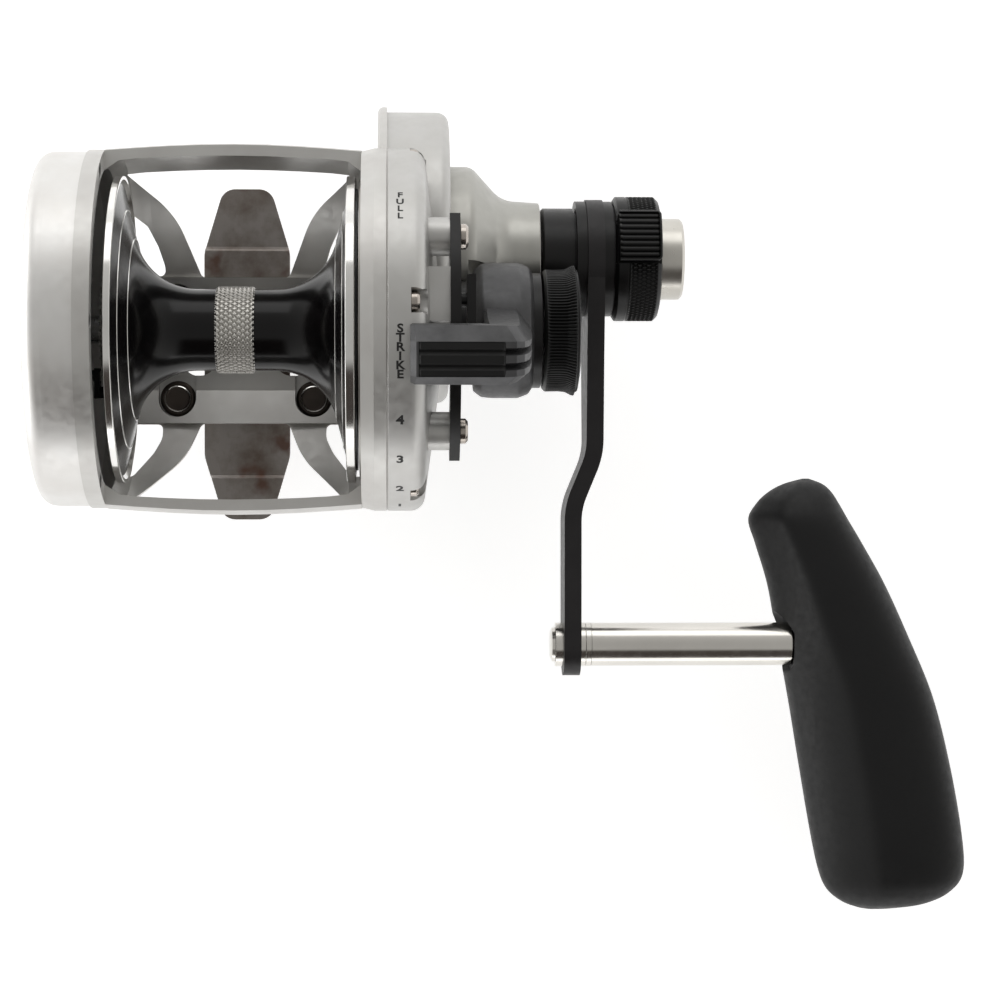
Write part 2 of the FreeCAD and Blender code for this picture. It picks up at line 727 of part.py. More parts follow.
def make_gears():
    across, down = D.handle_forward.value, D.handle_drop.value
    to_handle = math.degrees(math.atan2(across, down))
    to_spool = to_handle + 180.0
    pinion_width = D.gear_width + 0.8
    return [
        spur_gear("low_gear", HANDLE, D.low_gear_from, D.gear_width, D.low_teeth,
                  D.drive_shaft_radius + D.running, to_spool, webbed=True),
        spur_gear("high_gear", HANDLE, D.high_gear_from, D.gear_width, D.high_teeth,
                  D.drive_shaft_radius, to_spool, webbed=True),
        spur_gear("low_pinion", SPOOL, D.low_gear_from - 0.4, pinion_width, D.low_pinion_teeth,
                  SLEEVE_RADIUS, to_handle, gap_there=True),
        spur_gear("high_pinion", SPOOL, D.high_gear_from - 0.4, pinion_width, D.high_pinion_teeth,
                  SLEEVE_RADIUS, to_handle, gap_there=True),
    ]


# --- gear side -----------------------------------------------------------------------------------

PLATE_POSTS, PLATE_REACH = [0, 60, 120], 39.5


def make_gear_plate():
    """Wall between the spool and the gears, with the inner bearings of both axes."""
    disc = cylinder("gear_plate_disc", SPOOL, 39.0, 2.6, D.ring_bore - 0.05)
    holes = [cylinder("gear_plate_middle", SPOOL, 38, 5, 12.5),
             cylinder("gear_plate_lower", HANDLE, 38, 5, 8.0)]
    holes += [cylinder(f"gear_plate_hole_{i}", about(SPOOL, PLATE_REACH, degrees), 38, 5, 1.5)
              for i, degrees in enumerate(PLATE_POSTS)]
    return cut("gear_plate", disc, holes)


def make_gear_side_cover():
    """The right side cover, one shell with the gear case, the drag tower and the quadrant's posts."""
    start = D.right_ring_to
    rim, face = 49.4 - start, D.cover_face - start
    outer = turned("cover_outer", SPOOL, start, [
        (0, 0), (0, D.side_radius - D.seam), (D.seam, D.side_radius), (rim + 3.6, D.side_radius),
        (55.8 - start, 31), (57.6 - start, 16), (57.6 - start, 0)])
    soften(outer, 4.2, is_ring(D.side_radius, rim + 3.6))
    case_depth = D.case_face - start
    case = turned("case_outer", HANDLE, start, [
        (0, 0), (0, D.case_radius), (case_depth, D.case_radius), (case_depth, 0)])
    soften(case, 3.4, is_ring(D.case_radius, case_depth))
    tower = cylinder("drag_tower", SPOOL, 50, D.case_face - 50, D.tower_radius)
    post_from = 51.5
    post_length = D.quadrant_from - post_from
    posts = [cylinder(f"quadrant_post_{i}", about(SPOOL, D.post_reach, degrees), post_from, post_length, 5.3)
             for i, degrees in enumerate(QUADRANT_POSTS)]
    rest = block("quadrant_rest", (post_length, 14.6, 8.0), (post_from, SPOOL[0] + 0.4, SPOOL[1] + 34.0))
    outer_whole = fuse("cover_outside", [outer, case, tower, *posts, rest])

    room, roof = D.side_radius - 6.2, 55.8 - start - 1.5
    hollow = turned("cover_inner", SPOOL, start - 1, [
        (0, 0), (0, room), (face - 3.2, room), (face - 1.4, room - 2.3), (roof, 29), (roof, 0)])
    case_hollow = cylinder("case_inner", HANDLE, start - 1, D.case_face - start - 1.5, D.case_radius - 2.5)
    lugs = [cylinder(f"plate_post_{i}", about(SPOOL, PLATE_REACH, degrees), 41.6, 11, 3.2)
            for i, degrees in enumerate(PLATE_POSTS)]
    inside = cut("cover_inside", fuse("cover_hollow", [hollow, case_hollow]), lugs)

    removed = [inside,
               cylinder("boss_bore", HANDLE, 55, 10, BOSS_SEAT),
               cylinder("pinion_seat", SPOOL, 50, 10, 11.0),
               cylinder("tower_bore", SPOOL, 50, 20, 7.2)]
    pocket_depth, pocket_radius = 4.6, 3.5
    for i, degrees in enumerate(COVER_SCREWS):
        spot, edge = about(SPOOL, COVER_REACH, degrees), about(SPOOL, COVER_REACH + 3.5, degrees)
        removed.append(cylinder(f"cover_hole_{i}", spot, 40, 12, 1.5))
        removed.append(cylinder(f"cover_pocket_{i}", spot, COVER_SEAT, pocket_depth, pocket_radius))
        removed.append(cylinder(f"cover_scallop_{i}", edge, COVER_SEAT, pocket_depth, pocket_radius))
    removed.append(cylinder("strike_stem_hole", STRIKE_AT, 57.0, 4, 2.3))
    for i, degrees in enumerate(QUADRANT_POSTS):
        removed.append(cylinder(f"post_hole_{i}", about(SPOOL, D.post_reach, degrees), 55, 6, 1.5))
    for i, degrees in enumerate(PLATE_POSTS):
        removed.append(cylinder(f"lug_hole_{i}", about(SPOOL, PLATE_REACH, degrees), 40, 9, 1.5))
    shell = cut("cover_shell", outer_whole, removed)
    return common("gear_side_cover", shell, cylinder("cover_keep", SPOOL, 41.6, 30, 120))


COVER_SEAT = 49.2              # where the heads of the cover's screws sit
QUADRANT_POSTS = [-38, 48.3]
STRIKE_AT = (SPOOL[0] + 6.2, SPOOL[1] + 38.0)


def make_cover_screws():
    return group("cover_screws", [
        cap_screw(f"cover_screw_{i}", about(SPOOL, COVER_REACH, degrees), COVER_SEAT, 2.4, 2.9, 12, 1.5)
        for i, degrees in enumerate(COVER_SCREWS)])


def make_gear_plate_screws():
    return group("gear_plate_screws", [
        cap_screw(f"gear_plate_screw_{i}", about(SPOOL, PLATE_REACH, degrees), 39.0, 0.9, 2.8, 8, 1.5,
                  faces_right=False)
        for i, degrees in enumerate(PLATE_POSTS)])


def make_drive_boss():
    """The flared boss and long neck that carry the crank's bearings, relieved round the lever's hub."""
    start = 58.4
    end, room_end, case_end = D.neck_end - start, 63.0 - start, D.case_face - start
    base, seat, bore, room = 27.0, BOSS_SEAT, 12.0, 20.0
    flare = [(67.4, base), (69.0, 25.2), (72.1, 21.4), (75.0, 18.2), (76.4, 17.1),
             (D.neck_end - 0.5, D.neck_radius)]
    outline = [(0, room), (0, seat), (case_end, seat), (case_end, base),
               *[(along - start, radius) for along, radius in flare],
               (end, D.neck_radius - 0.5), (end, bore), (room_end, bore), (room_end, room)]
    blank = turned("boss_blank", HANDLE, start, outline)
    relief = cylinder("lever_relief", SPOOL, 66.0, 22, D.lever_hub_radius + 1.0)
    tower = cylinder("tower_relief", SPOOL, D.case_face - 0.01, 8, D.tower_radius + 0.1)
    pins = [cylinder(f"boss_pin_hole_{i}", spot, 55, 5, 1.8) for i, spot in enumerate(DOG_PINS)]
    return cut("drive_boss", blank, [relief, tower, *pins])


BOSS_SEAT = 23.9               # radius of the boss's spigot in the cover
DOG_REACH = 21.5
DOG_PINS = [(HANDLE[0] + DOG_REACH, HANDLE[1]), (HANDLE[0], HANDLE[1] - DOG_REACH)]
DOG_TURNS = [-90.0, 180.0]


def make_dog(name, turn, pin):
    """A pawl on its pin, resting just clear of the ratchet; its tip can drop between two teeth."""
    outline = [(2.6, -1.6), (2.6, 1.8), (0, 3.0), (-3.0, 2.4), (-8.9, -5.6), (-7.7, -7.2), (-6.6, -6.6),
               (-1.8, -2.6)]
    blank = prism(f"{name}_blank", outline, 2.0, (0, 0, 0), SIDE_VIEW)
    bored = cut(f"{name}_bored", blank, [cylinder(f"{name}_bore", (0, 0), -1, 5, 1.87)])
    dog = doc.addObject("Part::Compound", name)
    dog.Links = [bored]
    place(dog, (55.9, *pin), Rotation(Vector(1, 0, 0), turn))
    return dog


def make_drag_parts():
    shaft = D.shaft_radius
    lever_from = D.lever_hub_from
    button = fuse("strike_button", [
        block("strike_block", (2.4, 13.4, 8.0), (64.4, SPOOL[0] - 0.5, SPOOL[1] + 34.0)),
        cylinder("strike_stem", STRIKE_AT, 59.5, 5, 2.0)])
    inner, outer, thickness = D.quadrant_inner, D.quadrant_outer, D.quadrant_thickness
    quadrant_blank = turned("quadrant_blank", SPOOL, D.quadrant_from, [
        (0, inner), (0, outer), (thickness, outer), (thickness, inner)], angle=100, first_angle=137)
    quadrant_holes = [cylinder(f"quadrant_hole_{i}", about(SPOOL, D.post_reach, degrees), 58, 8, 1.5)
                      for i, degrees in enumerate(QUADRANT_POSTS)]
    quadrant_holes.append(cylinder("strike_hole", STRIKE_AT, 58, 8, 2.3))
    washers = []
    for i in range(3):
        washers.append(turned(f"spring_washer_{i}", SPOOL, 77.7 + 1.6 * i,
                              [(0, shaft + 0.4), (0.9, 11.0), (1.5, 11.0), (0.6, shaft + 0.4)]))
    return [
        button,
        cut("drag_quadrant", quadrant_blank, quadrant_holes),
        group("quadrant_screws", [
            cap_screw(f"quadrant_screw_{i}", about(SPOOL, D.post_reach, degrees), 62.8, 2.2, 3.5, 6.5, 1.5)
            for i, degrees in enumerate(QUADRANT_POSTS)]),
        turned("drag_cam", SPOOL, D.case_face, [
            (0, 4.6), (0, 14.0), (10.2, 14.0), (10.8, 13.4), (10.8, 4.6)]),
        tube("thrust_bearing", SPOOL, lever_from + 7.0, 2.6, 12.6, shaft + 0.6),
        group("spring_washers", washers),
        tube("preset_nut", SPOOL, 82.6, 3.9, 9.0, shaft),
        tube("lever_hub_ring", SPOOL, D.lever_hub_to, 2.3, 16.4, 9.6),
        make_preset_knob(),
    ]


def make_preset_knob():
    """A straight-ribbed knob, wider at its outer lip, with a shallow domed end."""
    fit = D.shaft_radius + D.running
    outline = [(0, fit), (0, D.preset_radius - 0.8), (0.8, D.preset_radius), (6.6, D.preset_radius + 0.2),
               (8.4, D.preset_lip), (9.0, D.preset_lip), (9.6, D.preset_lip - 0.9), (10.5, 11.0), (10.5, 0),
               (8.2, 0), (8.2, fit)]
    return turned("preset_knob", SPOOL, D.preset_from, outline)


def tilt(piece):
    """Turn an upright lever piece back about the spool's axis to its strike position."""
    y, z = (number.value for number in SPOOL)
    leaning = Rotation(Vector(1, 0, 0), D.lever_angle.value)
    piece.Placement = Placement(Vector(0, 0, 0), leaning, Vector(0, y, z))
    return piece


def make_lever():
    """Hub, arm and the thumb grip that reaches back over the cover's rim."""
    depth = D.lever_hub_to - D.lever_hub_from
    radius = D.lever_hub_radius
    hub = turned("lever_hub", SPOOL, D.lever_hub_from,
                 [(0, 14.5), (0, radius - 2.0), (2.2, radius - 0.3), (5, radius), (depth - 3.6, radius),
                  (depth - 1.2, radius - 1.0), (depth, radius - 2.6), (depth, 13.0), (6.7, 13.0), (6.7, 5.2),
                  (4.7, 5.2), (4.7, 14.5)])
    top = D.lever_reach
    profile = [(48.9, 52.3), (48.9, top - 1.6), (50.4, top), (74.5, top), (78.6, top - 3.6), (80.6, 46),
               (82.0, 30), (82.0, 16), (69.5, 16), (69.5, 42), (68.2, 49), (64.5, 52.3)]
    arm = prism("lever_arm", profile, D.lever_width, (0, SPOOL[0] + D.lever_width / 2, SPOOL[1]),
                FRONT_VIEW)
    waist = [(7.9, 10), (6.2, 24), (6.2, 44), (7.9, 52), (7.9, 62)]
    front = prism("lever_front_view", waist + [(-across, up) for across, up in reversed(waist)], 60,
                  (40, *SPOOL), SIDE_VIEW)
    slim_arm = common("lever_slim_arm", arm, front)
    bore = cylinder("lever_bore", SPOOL, D.lever_hub_from - 1, depth + 2, 15.5)
    channel = block("insert_channel", (23.2, 9.2, 3), (51.0, SPOOL[0] - 4.6, SPOOL[1] + top - 1.2))
    blank = fuse("lever_blank", [hub, cut("lever_arm_bored", slim_arm, [bore])])
    lever = cut("drag_lever", blank, [channel])

    ribs = [(-4.5, -1.1), (4.5, -1.1), (4.5, 0.3), (2.2, 0.5), (1.7, -0.2), (1.2, 0.6), (-1.2, 0.6),
            (-1.7, -0.2), (-2.2, 0.5), (-4.5, 0.3)]
    insert = prism("lever_insert", ribs, 22.8, (51.2, SPOOL[0], SPOOL[1] + top), SIDE_VIEW)
    tilted_insert = group("lever_grip_insert", [insert])
    return [tilt(lever), tilt(tilted_insert)]


# --- crank ---------------------------------------------------------------------------------------

RIVET_RADIUS = 3.2             # of the rivet that holds the grip's spindle to the arm


def make_drive_shaft():
    """Hollow shaft: gears and ratchet on its inner end, the crank on its outer end."""
    start = 38.9
    journal, radius = 4.0, D.drive_shaft_radius
    blank = turned("drive_shaft_blank", HANDLE, start,
                   [(0, 0), (0, journal), (4.5, journal), (4.5, radius), (110.6 - start, radius),
                    (110.6 - start, D.rod_bore), (5.6, D.rod_bore), (5.6, 0)])
    slot = block("key_slot", (9.0, 20, 3.2), (46.6, HANDLE[0] - 10, HANDLE[1] - 1.6))
    return cut("drive_shaft", blank, [slot])


def make_crank_parts():
    radius = D.drive_shaft_radius
    collar = [(0, radius), (0, D.collar_radius - 0.6), (0.6, D.collar_radius), (9.3, D.collar_radius),
              (9.3, 13.8), (10.0, 13.8), (10.0, D.collar_flange), (13.0, D.collar_flange), (13.0, radius)]
    seat = D.drum_from - D.arm_from - D.arm_thickness
    return [
        make_drive_shaft(),
        toothed_wheel("ratchet_wheel", HANDLE, 55.8, 2.2, 12, 15.0, 12.2, radius, 0.18, first_degrees=3),
        tube("gear_spacer", HANDLE, 49.15, 1.7, 9.0, radius + D.running),
        turned("crank_collar", HANDLE, 88.1, collar),
        turned("lock_ring", HANDLE, D.arm_from + D.arm_thickness, [
            (0, radius), (0, D.collar_flange), (seat - 0.5, D.collar_flange), (seat - 0.5, 16.0),
            (seat, 16.0), (seat, radius)]),
        make_crank_arm(),
        make_drum(),
    ]


def make_crank_arm():
    """Flat arm, wide at the hub, stepping inwards half-way to its narrow end."""
    y, z = HANDLE
    length = D.crank_length
    eye, end = D.arm_eye_radius, D.arm_tip_radius
    half = [(0, eye * 0.985), (-30, 12.6), (-60, 9.6), (-length, end)]
    start, depth = 92, 16
    web = prism("arm_web", half + [(along, -across) for along, across in reversed(half)], depth,
                (start, y, z), SIDE_VIEW)
    plan = fuse("arm_plan", [web, cylinder("arm_eye", HANDLE, start, depth, eye),
                             cylinder("arm_end", KNOB, start, depth, end)])
    outer, inner = D.arm_from + D.arm_thickness, D.arm_from
    drop = D.arm_offset
    near_bend, far_bend, shift = -58.5, -74.0, 1.0
    bends = [(outer, near_bend), (outer - drop, far_bend), (inner - drop, far_bend + shift),
             (inner, near_bend + shift)]
    side = prism("arm_side", [(inner, 20), (outer, 20), *bends[:2], (outer - drop, -130),
                              (inner - drop, -130), *bends[2:]], 50, (0, y, z - 25))
    soften(side, 24.0, is_corner(bends[0], bends[2]))
    soften(side, 19.0, is_corner(bends[1], bends[3]))
    blank = common("arm_blank", plan, side)
    return cut("crank_arm", blank, [cylinder("arm_bore", HANDLE, 90, 20, D.drive_shaft_radius),
                                    cylinder("arm_pin_bore", KNOB, 90, 20, RIVET_RADIUS)])


def make_drum():
    """The hub's outer drum, hollow for the shift button, with a pocket for the release tab."""
    depth = D.drum_to - D.drum_from
    radius = D.drum_radius
    outline = [(0, D.drive_shaft_radius), (0, 17.2), (0.8, radius), (depth - 1.6, radius),
               (depth - 0.4, radius - 1.2), (depth, radius - 2.4), (depth, D.button_radius + D.gap),
               (1.5, D.button_radius + D.gap), (1.5, D.drive_shaft_radius)]
    blank = turned("drum_blank", HANDLE, D.drum_from, outline)
    pocket = block("tab_pocket", (13.3, 15.8, 10), (109.7, HANDLE[0] - 2.4, HANDLE[1] + 14.0))
    return cut("crank_drum", blank, [pocket])


def make_shift_tab():
    """The ribbed tab that lets the button spring back out."""
    y, z = HANDLE
    body = block("tab_body", (12.3, 15.0, 8), (110.2, y - 2.0, z + 15.8))
    skin = turned("tab_skin", HANDLE, 110.2, [(0, 15.0), (0, 21.0), (0.8, 21.6), (11.5, 21.6), (12.3, 21.0),
                                              (12.3, 15.0)])
    ribs = []
    for i in range(8):
        degrees = 2.0 - 42.0 * i / 7
        ribs.append(cylinder(f"tab_groove_{i}", about(HANDLE, 21.9, degrees), 109, 15, 0.7))
    return cut("shift_tab", common("tab_blank", body, skin), ribs)


ROD_PLAY = 0.08                # radial play of the push rod in the drive shaft


def make_shift_button():
    start = 115.8
    radius = D.button_radius
    length = D.button_end - start
    return turned("shift_button", HANDLE, start, [
        (0, D.rod_bore - ROD_PLAY), (0, radius), (length - 0.8, radius), (length, radius - 0.8), (length, 0),
        (2.0, 0), (2.0, D.rod_bore - ROD_PLAY)])


def make_shift_rod():
    """Push rod inside the drive shaft with the cross key that picks one of the two gears."""
    y, z = HANDLE
    rod = cylinder("rod", HANDLE, 51.9, 65.8, D.rod_bore - ROD_PLAY)
    key = block("cross_key", (2.6, 11.4, 2.9), (51.9, y - 5.7, z - 1.45))
    return fuse("shift_rod", [rod, key])


# --- grip ----------------------------------------------------------------------------------------

# Stations along the grip: distance behind the crank's axis, middle along X, half width along X,
# half thickness along Z.
GRIP_STATIONS = [
    (65.3, 167.2, 3.2, 2.6),
    (69.0, 165.9, 9.6, 7.8),
    (76.5, 165.2, 14.8, 12.4),
    (94.0, 172.6, 17.1, 15.2),
    (118.0, 180.2, 20.5, 16.8),
    (146.0, 187.0, 22.3, 17.0),
    (172.0, 191.7, 22.5, 16.0),
    (183.5, 193.0, 21.4, 14.2),
    (189.6, 192.0, 17.2, 11.4),
    (193.9, 187.6, 5.0, 3.6),
]


def make_grip():
    """A long, swelling hand grip across the spindle."""
    y, z = HANDLE
    sections = []
    for i, (behind, middle, half_width, half_depth) in enumerate(GRIP_STATIONS):
        oval = doc.addObject("Part::Ellipse", f"grip_section_{i}")
        bind(oval, "MajorRadius", half_width)
        bind(oval, "MinorRadius", half_depth)
        place(oval, (middle, y - behind, z), FRONT_VIEW)
        sections.append(oval)
    loft = doc.addObject("Part::Loft", "grip_blank")
    loft.Sections = sections
    loft.Solid = True
    mouth = turned("grip_mouth", KNOB, 150.0, [(0, 0), (0, 13.0), (7.0, 10.2), (13.2, 8.0), (13.2, 0)])
    inner = cylinder("grip_bore", KNOB, 160.0, D.spindle_end - 160.0 + 0.6, 6.0)
    return cut("grip", loft, [mouth, inner])


def make_grip_parts():
    start, pin, journal = 103.2, RIVET_RADIUS, 4.0
    shoulder, end = 162.6 - start, D.spindle_end - start
    spindle = [(0, pin), (0, D.spindle_radius), (shoulder, D.spindle_radius), (shoulder, journal),
               (end, journal), (end, 0), (8.0, 0), (8.0, pin)]
    rivet = [(0, 0), (0, 3.6), (0.5, 5.0), (1.4, 5.2), (1.4, pin), (19.9, pin), (19.9, 0)]
    bearing_fit = journal + D.running
    return [
        turned("grip_spindle", KNOB, start, spindle),
        turned("grip_rivet", KNOB, 91.0, rivet),
        group("grip_washers", [tube("inner_washer", KNOB, 92.5, 2.25, 6.5, pin),
                               tube("outer_washer", KNOB, 99.85, 1.5, 6.5, pin),
                               tube("spindle_washer", KNOB, 101.55, 1.5, 6.5, pin)]),
        group("grip_bearings", [ball_bearing("near_grip_bearing", KNOB, 164.0, 3.0, 6.0, bearing_fit),
                                ball_bearing("far_grip_bearing", KNOB, 182.0, 3.0, 6.0, bearing_fit)]),
        make_grip(),
    ]


# --- assembly ------------------------------------------------------------------------------------


def make_reel():
    sleeve = SLEEVE_RADIUS
    drive_plate = turned("drive_plate", SPOOL, 35.0, [
        (0, 5.0), (0, 42.5), (2.4, 42.5), (2.4, 9.5), (3.4, 9.5), (3.4, sleeve), (24.8, sleeve),
        (24.8, 5.0)])
    pieces = [
        make_frame(), make_foot(), make_foot_screws(), make_clamp_studs(),
        make_left_side_plate(), make_left_plate_screws(), make_clicker_button(), make_click_tongue(),
        make_spool(), *make_spool_parts(), make_spool_shaft(),
        drive_plate, *make_gears(),
        make_gear_plate(), make_gear_plate_screws(), make_gear_side_cover(), make_cover_screws(),
        make_drive_boss(),
        ball_bearing("inner_pinion_bearing", SPOOL, 39.0, 4.0, 12.5, sleeve + 0.05),
        ball_bearing("outer_pinion_bearing", SPOOL, 56.4, 3.2, 11.0, sleeve + 0.05),
        ball_bearing("inner_drive_bearing", HANDLE, 39.2, 2.4, 8.0, 4.05),
        ball_bearing("middle_drive_bearing", HANDLE, 64.0, 5.0, 12.0, D.drive_shaft_radius + D.running),
        ball_bearing("outer_drive_bearing", HANDLE, 81.8, 5.0, 12.0, D.drive_shaft_radius + D.running),
        group("dog_pins", [cylinder(f"dog_pin_{i}", at, 55.6, 4.4, 1.8) for i, at in enumerate(DOG_PINS)]),
        make_dog("front_dog", DOG_TURNS[0], DOG_PINS[0]),
        make_dog("lower_dog", DOG_TURNS[1], DOG_PINS[1]),
        *make_drag_parts(), *make_lever(),
        *make_crank_parts(), make_shift_button(), make_shift_rod(), make_shift_tab(),
        *make_grip_parts(),
    ]
    for piece in pieces:
        piece.Label = piece.Name
    return pieces


def check_and_write(pieces):
    doc.recompute()
    for item in doc.Objects:
        if {"Invalid", "Error"} & set(item.State):
            raise RuntimeError(f"{item.Name} failed: {item.State}")
    os.makedirs("parts", exist_ok=True)
    for piece in pieces:
        shape = piece.Shape
        if shape.isNull() or not shape.isValid() or not shape.Solids:
            raise RuntimeError(f"{piece.Label} has no sound shape")
        shape.exportStep(f"parts/{piece.Label}.step")
        print(piece.Label, len(shape.Solids), round(shape.Volume, 1))


check_and_write(make_reel())
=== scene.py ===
"""A two-speed trolling reel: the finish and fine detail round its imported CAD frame."""

import math

import bmesh
import bpy
from mathutils import Matrix, Vector


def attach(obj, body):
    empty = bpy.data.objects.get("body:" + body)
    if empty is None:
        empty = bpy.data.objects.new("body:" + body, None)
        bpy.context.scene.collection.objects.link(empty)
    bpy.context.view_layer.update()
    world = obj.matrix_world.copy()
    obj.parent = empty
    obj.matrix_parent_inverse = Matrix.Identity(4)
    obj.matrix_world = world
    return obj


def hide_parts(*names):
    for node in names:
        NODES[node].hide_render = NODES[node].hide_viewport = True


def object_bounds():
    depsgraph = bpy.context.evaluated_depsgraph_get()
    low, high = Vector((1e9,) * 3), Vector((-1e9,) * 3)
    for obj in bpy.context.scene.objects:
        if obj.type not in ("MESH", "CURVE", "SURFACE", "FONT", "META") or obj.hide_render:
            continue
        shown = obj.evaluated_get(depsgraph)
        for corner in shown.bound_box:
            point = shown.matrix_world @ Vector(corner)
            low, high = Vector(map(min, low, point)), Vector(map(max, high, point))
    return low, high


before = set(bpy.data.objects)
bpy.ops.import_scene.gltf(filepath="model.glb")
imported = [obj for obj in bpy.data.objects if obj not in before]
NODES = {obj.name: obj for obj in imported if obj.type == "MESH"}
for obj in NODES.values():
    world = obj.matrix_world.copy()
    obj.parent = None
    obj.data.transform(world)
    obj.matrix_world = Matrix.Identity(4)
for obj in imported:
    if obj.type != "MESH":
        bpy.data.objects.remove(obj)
CAD_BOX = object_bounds()

MM = 0.001
CLOSE = 1e-6               # millimetres: lengths that differ by less than this are the same
WELD, SLIVER = 2e-6, 1e-6  # metres: points closer than this are one, and edges shorter go
SPOOL = (4.5, 57.0)        # the spool's axis, as Y and Z in millimetres
HANDLE = (27.3, 28.95)     # the crank's axis
KNOB = (-87.2, 28.95)      # the grip's axis
LEVER_TILT = 9.5           # degrees that the drag lever leans back at strike

# ---------------------------------------------------------------- camera, light and floor


def make_camera():
    """Above the reel and looking down, a little off the vertical."""
    lean_x, lean_y = -0.66, -2.43
    data = bpy.data.cameras.new("camera")
    data.lens = 93.2
    data.sensor_width = 36
    data.clip_start = 0.01
    camera = bpy.data.objects.new("camera", data)
    camera.location = (0.0436, -0.0354, 0.797)
    camera.rotation_euler = (math.radians(lean_x), math.radians(lean_y), 0)
    bpy.context.scene.collection.objects.link(camera)
    bpy.context.scene.camera = camera


def add_area(name, place, target, size, power):
    """A white rectangular light at a place, facing a target."""
    data = bpy.data.lights.new(name, "AREA")
    data.shape = "RECTANGLE"
    data.size, data.size_y = size
    data.energy = power
    light = bpy.data.objects.new(name, data)
    light.location = place
    light.rotation_euler = (Vector(target) - Vector(place)).to_track_quat("-Z", "Y").to_euler()
    bpy.context.scene.collection.objects.link(light)


def make_world():
    """A white tent: brighter walls than ceiling, and a dark opening on the crank's grip side."""
    world = bpy.data.worlds.new("studio")
    bpy.context.scene.world = world
    world.use_nodes = True
    tree = world.node_tree
    tree.nodes.clear()
    coords = tree.nodes.new("ShaderNodeTexCoord")
    split = tree.nodes.new("ShaderNodeSeparateXYZ")
    tree.links.new(coords.outputs["Generated"], split.inputs[0])
    walls = tree.nodes.new("ShaderNodeValToRGB")
    for stop in walls.color_ramp.elements[1:]:
        walls.color_ramp.elements.remove(stop)
    walls.color_ramp.elements[0].position = 0.0
    walls.color_ramp.elements[0].color = (1.05, 1.05, 1.05, 1)
    for position, level in ((0.15, 0.98), (0.4, 0.76), (0.7, 0.56), (1.0, 0.43)):
        stop = walls.color_ramp.elements.new(position)
        stop.color = (level, level * 0.99, level * 0.965, 1)
    tree.links.new(split.outputs["Z"], walls.inputs[0])

    def fade(source, start, end):
        """0 to 1 as the source goes from start to end."""
        node = tree.nodes.new("ShaderNodeMapRange")
        node.interpolation_type = "SMOOTHSTEP"
        node.inputs["From Min"].default_value = start
        node.inputs["From Max"].default_value = end
        tree.links.new(source, node.inputs["Value"])
        return node.outputs[0]

    def times(one, other):
        node = tree.nodes.new("ShaderNodeMath")
        node.operation = "MULTIPLY"
        tree.links.new(one, node.inputs[0])
        tree.links.new(other, node.inputs[1])
        return node.outputs[0]

    across = tree.nodes.new("ShaderNodeMath")
    across.operation = "ABSOLUTE"
    tree.links.new(split.outputs["X"], across.inputs[0])
    opening = times(times(fade(split.outputs["Y"], -0.4, -0.56), fade(split.outputs["Z"], 0.08, 0.24)),
                    fade(across.outputs[0], 0.5, 0.28))
    mix = tree.nodes.new("ShaderNodeMix")
    mix.data_type = "RGBA"
    tree.links.new(opening, mix.inputs["Factor"])
    tree.links.new(walls.outputs["Color"], mix.inputs["A"])
    mix.inputs["B"].default_value = (0.05, 0.042, 0.038, 1)
    light = tree.nodes.new("ShaderNodeBackground")
    tree.links.new(mix.outputs["Result"], light.inputs["Color"])
    plain = tree.nodes.new("ShaderNodeBackground")
    plain.inputs["Color"].default_value = (0.93, 0.93, 0.93, 1)
    ray = tree.nodes.new("ShaderNodeLightPath")
    choose = tree.nodes.new("ShaderNodeMixShader")
    tree.links.new(ray.outputs["Is Camera Ray"], choose.inputs[0])
    tree.links.new(light.outputs[0], choose.inputs[1])
    tree.links.new(plain.outputs[0], choose.inputs[2])
    out = tree.nodes.new("ShaderNodeOutputWorld")
    tree.links.new(choose.outputs[0], out.inputs["Surface"])


def make_floor():
    """A plain white sheet just under the lowest point."""
    mesh = bpy.data.meshes.new("floor")
    reach, gap = 1.6, 0.001
    level = CAD_BOX[0].z - gap
    corners = ((-reach, -reach), (reach, -reach), (reach, reach), (-reach, reach))
    mesh.from_pydata([(x, y, level) for x, y in corners], [], [(0, 1, 2, 3)])
    floor = bpy.data.objects.new("floor", mesh)
    bpy.context.scene.collection.objects.link(floor)
    material = bpy.data.materials.new("floor_white")
    material.use_nodes = True
    shader = material.node_tree.nodes["Principled BSDF"]
    shader.inputs["Base Color"].default_value = (0.8, 0.8, 0.8, 1)
    shader.inputs["Roughness"].default_value = 0.9
    shader.inputs["Emission Color"].default_value = (1, 1, 1, 1)
    shader.inputs["Emission Strength"].default_value = 0.62
    mesh.materials.append(material)


# ---------------------------------------------------------------- materials


def tone(level):
    """A grey as it is seen, 0 to 255, as the linear number that a shader takes."""
    share = level / 255
    return share / 12.92 if share <= 0.04045 else ((share + 0.055) / 1.055) ** 2.4


def ink(red, green, blue):
    """A colour as it is seen, 0 to 255 in each part, as a shader takes it."""
    return (tone(red), tone(green), tone(blue), 1)


